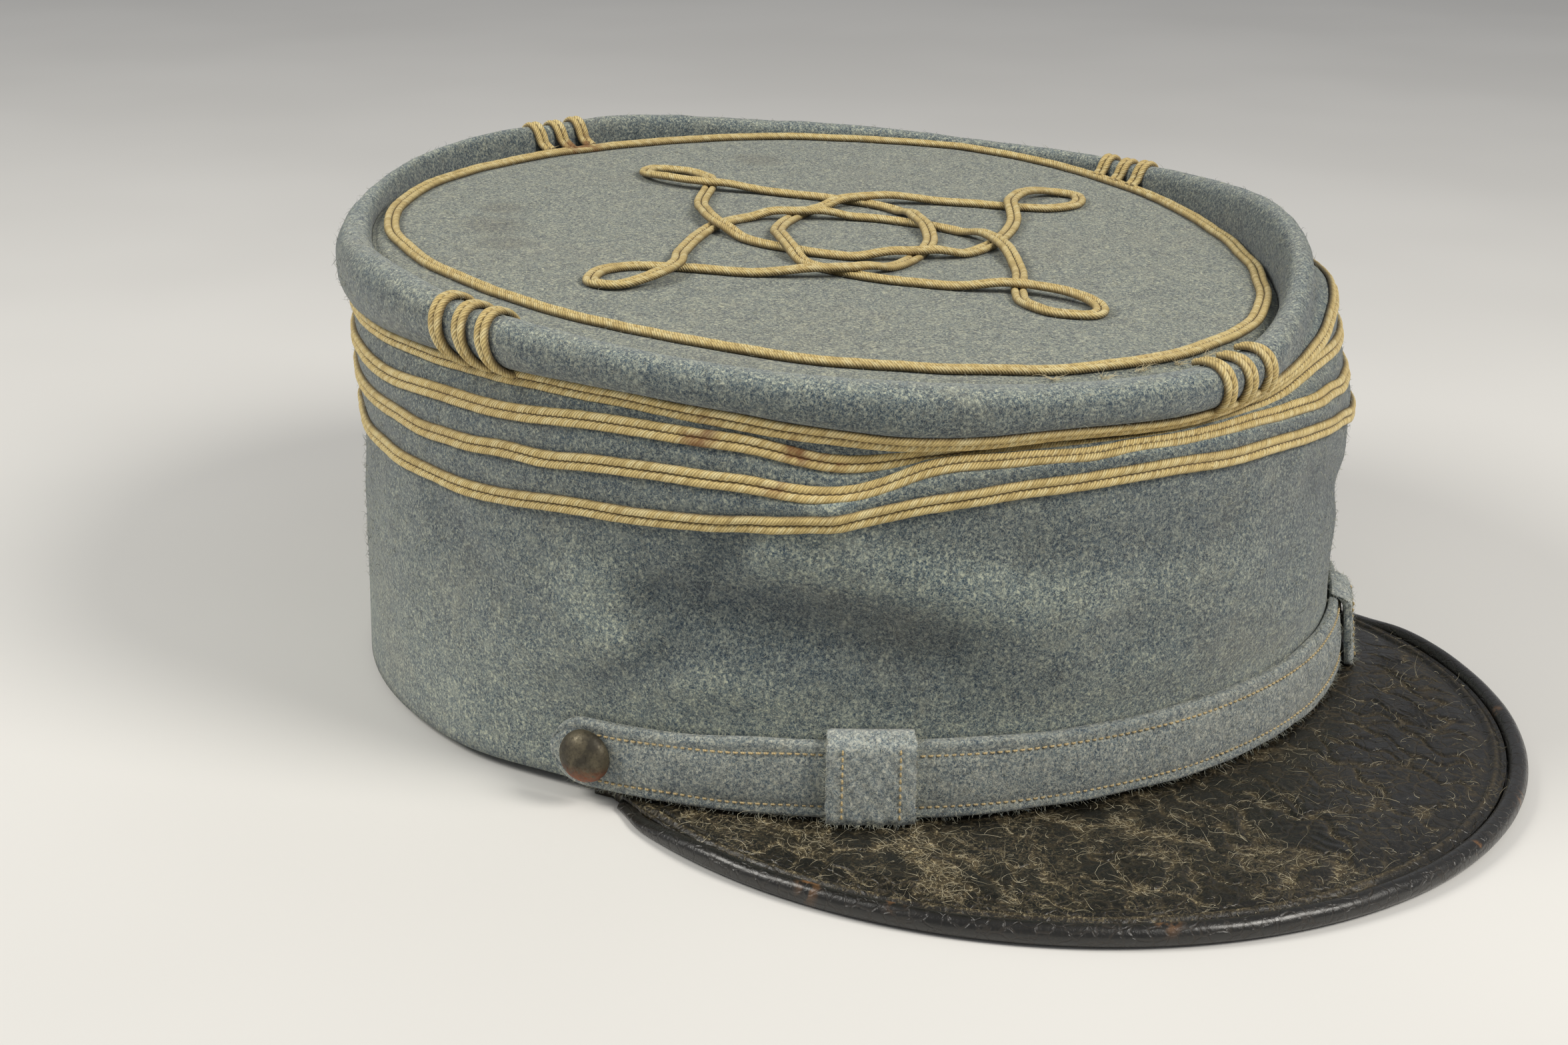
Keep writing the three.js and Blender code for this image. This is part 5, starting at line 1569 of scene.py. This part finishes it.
binding = new_piece("binding_roll", polar(binding_turn[:, None], radius, z), capped(*z.shape),
                    BINDING_LEATHER, tone=np.zeros(z.size))
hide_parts("peak_binding")
print("The binding has", triangle_counts["binding_roll"], "triangles")

# %% [markdown]
# Close to it, worn wool has a beard: short fibres stand off every edge, raw cuts fray,
# and fibres that broke off lie on the peak. They are real geometry, since they change
# the outline. A strand is a tube of three sides that curls and thins out, with only a
# few faces, because there are thousands. Places are drawn on the surfaces made above,
# with more of them where a face is larger, and every draw has its own fixed seed.

# %% Strands
def fibre(name, dark, light):
    """A material for strands: each one's tone picks its colour between dark and light."""
    material, tree, shader, place = new_material(
        name, Roughness=0.85, Sheen_Weight=0.15, Specular_IOR_Level=0.25)
    colour = mixed(tree, tone_of(tree), dark, light)
    dirt_and_fold_shade = use(tree, patches, {"Place": place, "Size": 90.0, "Low": 0.45, "High": 0.65})["Mask"]
    tree.links.new(mixed(tree, times(tree, dirt_and_fold_shade, 0.3), colour, dark), shader.inputs["Base Color"])
    return material


def strands(name, roots, leans, ups, lengths, width, curl, tones, material, rings=3):
    """At a share s of its length a strand is at its root plus s along its lean, plus a
    circle of the curl's size that turns with s. Its width falls to a sixth at the tip."""
    draw = np.random.default_rng(len(roots))
    across = unit(np.cross(ups, leans))
    over = np.cross(leans, across)
    start = draw.uniform(0, 2 * np.pi, (len(roots), 1))
    speed = draw.uniform(1.5, 4.5, (len(roots), 1)) * draw.choice([-1, 1], (len(roots), 1))
    s = np.linspace(0, 1, rings)
    swing = (np.cos(start + speed * s) - np.cos(start)) * curl
    lift = np.abs(np.sin(start + speed * s) - np.sin(start)) * curl * 0.35
    size = np.asarray(lengths)[:, None, None]
    line = roots[:, None] + size * (leans[:, None] * s[:, None] + across[:, None] * swing[..., None]
                                    + over[:, None] * lift[..., None])
    angle = np.radians([0.0, 120.0, 240.0])[:, None]
    spun = across[:, None] * np.cos(angle) + over[:, None] * np.sin(angle)
    thick = width / 2 * (1 - 0.83 * s)
    points = line[:, :, None] + spun[:, None] * thick[:, None, None]
    points[..., 2] = np.maximum(points[..., 2], 0.03)
    new_piece(name, points, many_tubes(len(roots), rings, 3), material,
              tone=np.repeat(tones, rings * 3))
    print(name, len(roots), "strands,", triangle_counts[name], "triangles")


def sown(grid, count, seed, allowed=1.0):
    """Random places on a grid of points: cells drawn by their area, then a place within
    each. Returns the places, the outward normals, two vectors along the surface and the
    source of random numbers."""
    here = grid[:-1, :-1]
    u, v = grid[1:, :-1] - here, grid[:-1, 1:] - here
    normal = np.cross(u, v)
    chance = (np.linalg.norm(normal, axis=-1) * allowed).ravel()
    draw = np.random.default_rng(seed)
    pick = draw.choice(chance.size, count, p=chance / chance.sum())
    here, u, v, normal = [k.reshape(-1, 3)[pick] for k in (here, u, v, normal)]
    place = here + u * draw.random((count, 1)) + v * draw.random((count, 1))
    return place, unit(normal), unit(u), unit(v), draw


def nap(name, grid, count, seed, shortest, longest, material, allowed=1.0):
    """Short fibres sown on a surface, each leaning some way off its normal."""
    place, normal, u, v, draw = sown(grid, count, seed, allowed)
    heading = draw.uniform(0, 2 * np.pi, (count, 1))
    lean = unit(normal * draw.uniform(0.12, 0.75, (count, 1)) + u * np.cos(heading)
                + v * np.sin(heading))
    strands(name, place - normal * 0.05, lean, normal, draw.uniform(shortest, longest, count),
            0.085, 0.35, draw.beta(1.2, 1.0, count), material)


WOOL_FIBRE = fibre("wool_fibre", srgb(84, 100, 110), srgb(206, 204, 180))
BRAID_FIBRE = fibre("braid_fibre", srgb(160, 134, 88), srgb(246, 230, 188))
LINT_FIBRE = fibre("lint_fibre", srgb(112, 100, 70), srgb(240, 230, 198))
step = np.arange(ROW_STEP[1] + 27)
crown_skin = np.vstack([crown_points, crown_points[:1]])[:, :len(step) + 1]
nap("crown_nap", crown_skin, 8000, 101, 0.6, 1.6, WOOL_FIBRE, allowed=(step > 5)[None, :] * 1.0)
nap("top_nap", top_faces_up[::-1].transpose(1, 0, 2), 3200, 102, 0.5, 1.4, WOOL_FIBRE)
nap("strap_nap", strap_points[:, 7:26][:, ::-1], 1800, 103, 0.5, 1.3, WOOL_FIBRE)
nap("keeper_right_nap", keepers[0][:, :19], 160, 104, 0.5, 1.3, WOOL_FIBRE)
nap("keeper_left_nap", keepers[1][:, :19], 160, 105, 0.5, 1.3, WOOL_FIBRE)

# %% [markdown]
# Cut edges fray in one direction, away from the cut. The strap's two long edges, the
# keepers' sides and feet, and the raw ends of the braid each get their strands, and
# small tufts of cream thread stick out beside the ring at the front, where its sewing
# has come undone.

# %% Frayed edges
def along_edge(line, away, count, draw):
    """Places drawn along a line of points, and the direction away from the cut there."""
    where = draw.uniform(0, len(line) - 1, count)
    k = where.astype(int)
    return lerp(line[k], line[k + 1], (where - k)[:, None]), np.broadcast_to(away, line.shape)[k]


draw = np.random.default_rng(111)
up_z = np.array([0.0, 0.0, 1.0])
strap_out = polar(strap_turn, 1.0, 0.0)
edges = [along_edge(strap_points[:, 6], up_z + strap_out * 0.3, 520, draw),
         along_edge(strap_points[:, 25], strap_out * 0.9 - up_z * 0.5, 620, draw)]
for points in keepers:
    sideways = unit(points[-1, 0] - points[0, 0])
    edges += [along_edge(points[0, :18], -sideways, 60, draw),
              along_edge(points[-1, :18], sideways, 60, draw),
              along_edge(points[:, 0], unit(points[20, 0] * [1, 1, 0]) - up_z * 0.6, 60, draw)]
roots, away = [np.concatenate([edge[k] for edge in edges]) for k in (0, 1)]
lean = unit(away + draw.normal(0, 0.45, away.shape))
strands("strap_fray", roots - lean * 0.1, lean, unit(draw.normal(0, 1, away.shape)),
        draw.uniform(0.4, 1.5, len(roots)), 0.09, 0.3, draw.beta(1.5, 1.0, len(roots)),
        WOOL_FIBRE, rings=4)

# Strands at each raw end of braid, then at each tuft beside the ring: (x, y) in mm.
TUFTS = np.array([(-20.7, -79.6), (-13.2, -82.6), (-4.7, -82.5), (2.6, -82.7), (9.5, -81.9)])
PER_END, PER_TUFT = 11, 13
tips, directions, outs = [np.repeat(np.stack(k), PER_END, axis=0) for k in zip(*upright_ends)]
sideways = np.cross(directions, outs)
count = len(tips)
roots = (tips + sideways * draw.uniform(-1.2, 1.2, (count, 1))
         + outs * draw.uniform(0.15, 0.95, (count, 1)))
lean = unit(directions + draw.normal(0, 0.38, (count, 3)) + outs * 0.12)
strands("braid_fray", roots - directions * 0.3, lean, outs, draw.uniform(0.6, 2.0, count),
        0.13, 0.22, draw.beta(1.3, 1.0, count), BRAID_FIBRE, rings=4)
spot = np.repeat(TUFTS, PER_TUFT, axis=0)
count = len(spot)
foot = (np.column_stack([spot, top_cloth_z(spot[:, 0], spot[:, 1]) + 0.25])
        + draw.normal(0, 0.3, (count, 3)) * [1, 1, 0.3])
lean = unit(unit(foot * [1, 1, 0]) * 0.7 + up_z * 0.35
            + draw.normal(0, 0.55, (count, 3)) * [1, 1, 0.4])
strands("ring_tufts", foot, lean, np.tile(up_z, (count, 1)), draw.uniform(1.0, 3.0, count),
        0.11, 0.4, np.full(count, 1.0), BRAID_FIBRE, rings=6)

# %% [markdown]
# Loose fibres lie flat on the peak. They gather in its cracks and on the side of the
# wearer's right, and none lies under the cap.

# %% Lint on the peak
LINT = 2000
to_the_right = (0.3 + ease(40, -50, peak_turn))[:, None]
gathers = (0.12 + crack_mask) * ease(0.3, 1.5, beyond_hem) * to_the_right
place, normal, u, v, draw = sown(peak_points[:, :PEAK_ROWS][:, ::-1], LINT, 121,
                                 gathers[:-1, ::-1][:, 1:])
heading = draw.uniform(0, 2 * np.pi, (LINT, 1))
lean = unit(normal * draw.uniform(0.0, 0.14, (LINT, 1)) + u * np.cos(heading)
            + v * np.sin(heading))
strands("peak_lint", place + normal * 0.06, lean, normal, draw.gamma(2.0, 0.55, LINT) + 0.35,
        0.085, 0.5, draw.beta(1.3, 1.3, LINT), LINT_FIBRE, rings=6)

# %% [markdown]
# The cap stands on a pale table between two soft lamps, as in a small studio. One is to
# the left and a little behind, the other to the right and in front, both well above the
# table. The side that faces the camera lies between them and is darkest, which models
# the crumple. A weak pale sky opens the shadows.

# %% Floor, lamps and sky
def lamp(name, place_mm, aim_mm, size, power, colour):
    """An area lamp whose face looks at a point: its third axis is the line back from it."""
    data = bpy.data.lights.new(name, "AREA")
    data.shape, data.size, data.energy, data.color = "DISK", size, power, colour
    back = unit(np.array(place_mm, float) - np.array(aim_mm, float))
    side = unit(np.cross([0.0, 0.0, 1.0], back))
    pose = np.eye(4)
    pose[:3, 0], pose[:3, 1], pose[:3, 2] = side, np.cross(back, side), back
    pose[:3, 3] = np.array(place_mm) * MM + AXIS
    thing = bpy.data.objects.new(name, data)
    bpy.context.scene.collection.objects.link(thing)
    thing.matrix_world = pose.T.tolist()


def from_turn(turn, rise, distance):
    """A place at a turn round the head, an angle above the table and a distance in mm."""
    return polar(np.array(turn), distance * cosd(rise), distance * sind(rise))


# The distance and the aim are in mm, the size in metres and the power in watts.
LAMP_AWAY, LAMP_AIM, LAMP_SIZE = 1000, (0, 0, 40), 0.42
lamp("left_lamp", from_turn(-113, 43, LAMP_AWAY), LAMP_AIM, LAMP_SIZE, 4.9, (1.0, 0.97, 0.90))
lamp("front_lamp", from_turn(24, 44, LAMP_AWAY), LAMP_AIM, LAMP_SIZE, 6.4, (1.0, 0.96, 0.89))

world = bpy.data.worlds.new("pale_sky")
world.use_nodes = True
sky = world.node_tree.nodes["Background"].inputs
sky["Color"].default_value, sky["Strength"].default_value = (0.96, 0.97, 1.0, 1.0), 0.30
bpy.context.scene.world = world
bpy.context.scene.view_settings.view_transform = "Standard"

FLOOR_HALF = 3.0
FLOOR, tree, shader, place = new_material("pale_table", Roughness=0.85, Specular_IOR_Level=0.2)
soft = noise(tree, place, 6.0, 2.0, 0.5)
tree.links.new(mixed(tree, eased(tree, soft, 0.3, 0.7), srgb(226, 225, 222), srgb(231, 230, 227)),
               shader.inputs["Base Color"])
floor_mesh = bpy.data.meshes.new("floor")
floor_mesh.from_pydata([(-FLOOR_HALF, -FLOOR_HALF, 0), (FLOOR_HALF, -FLOOR_HALF, 0),
                        (FLOOR_HALF, FLOOR_HALF, 0), (-FLOOR_HALF, FLOOR_HALF, 0)],
                       [], [(0, 1, 2, 3)])
floor_mesh.materials.append(FLOOR)
floor = bpy.data.objects.new("floor", floor_mesh)
bpy.context.scene.collection.objects.link(floor)
floor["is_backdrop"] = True

# %% [markdown]
# Last come the checks: how many triangles were made, and how the finished cap's box
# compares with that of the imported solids.

# %% Sizes and finish
print("Triangles in all:", sum(triangle_counts.values()))
visual_box = [list(corner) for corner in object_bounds()]
growth = (np.array(visual_box) - np.array(cad_box)) / MM
print("The finished cap's box is off the solids' by, in mm:", growth.round(2).tolist())
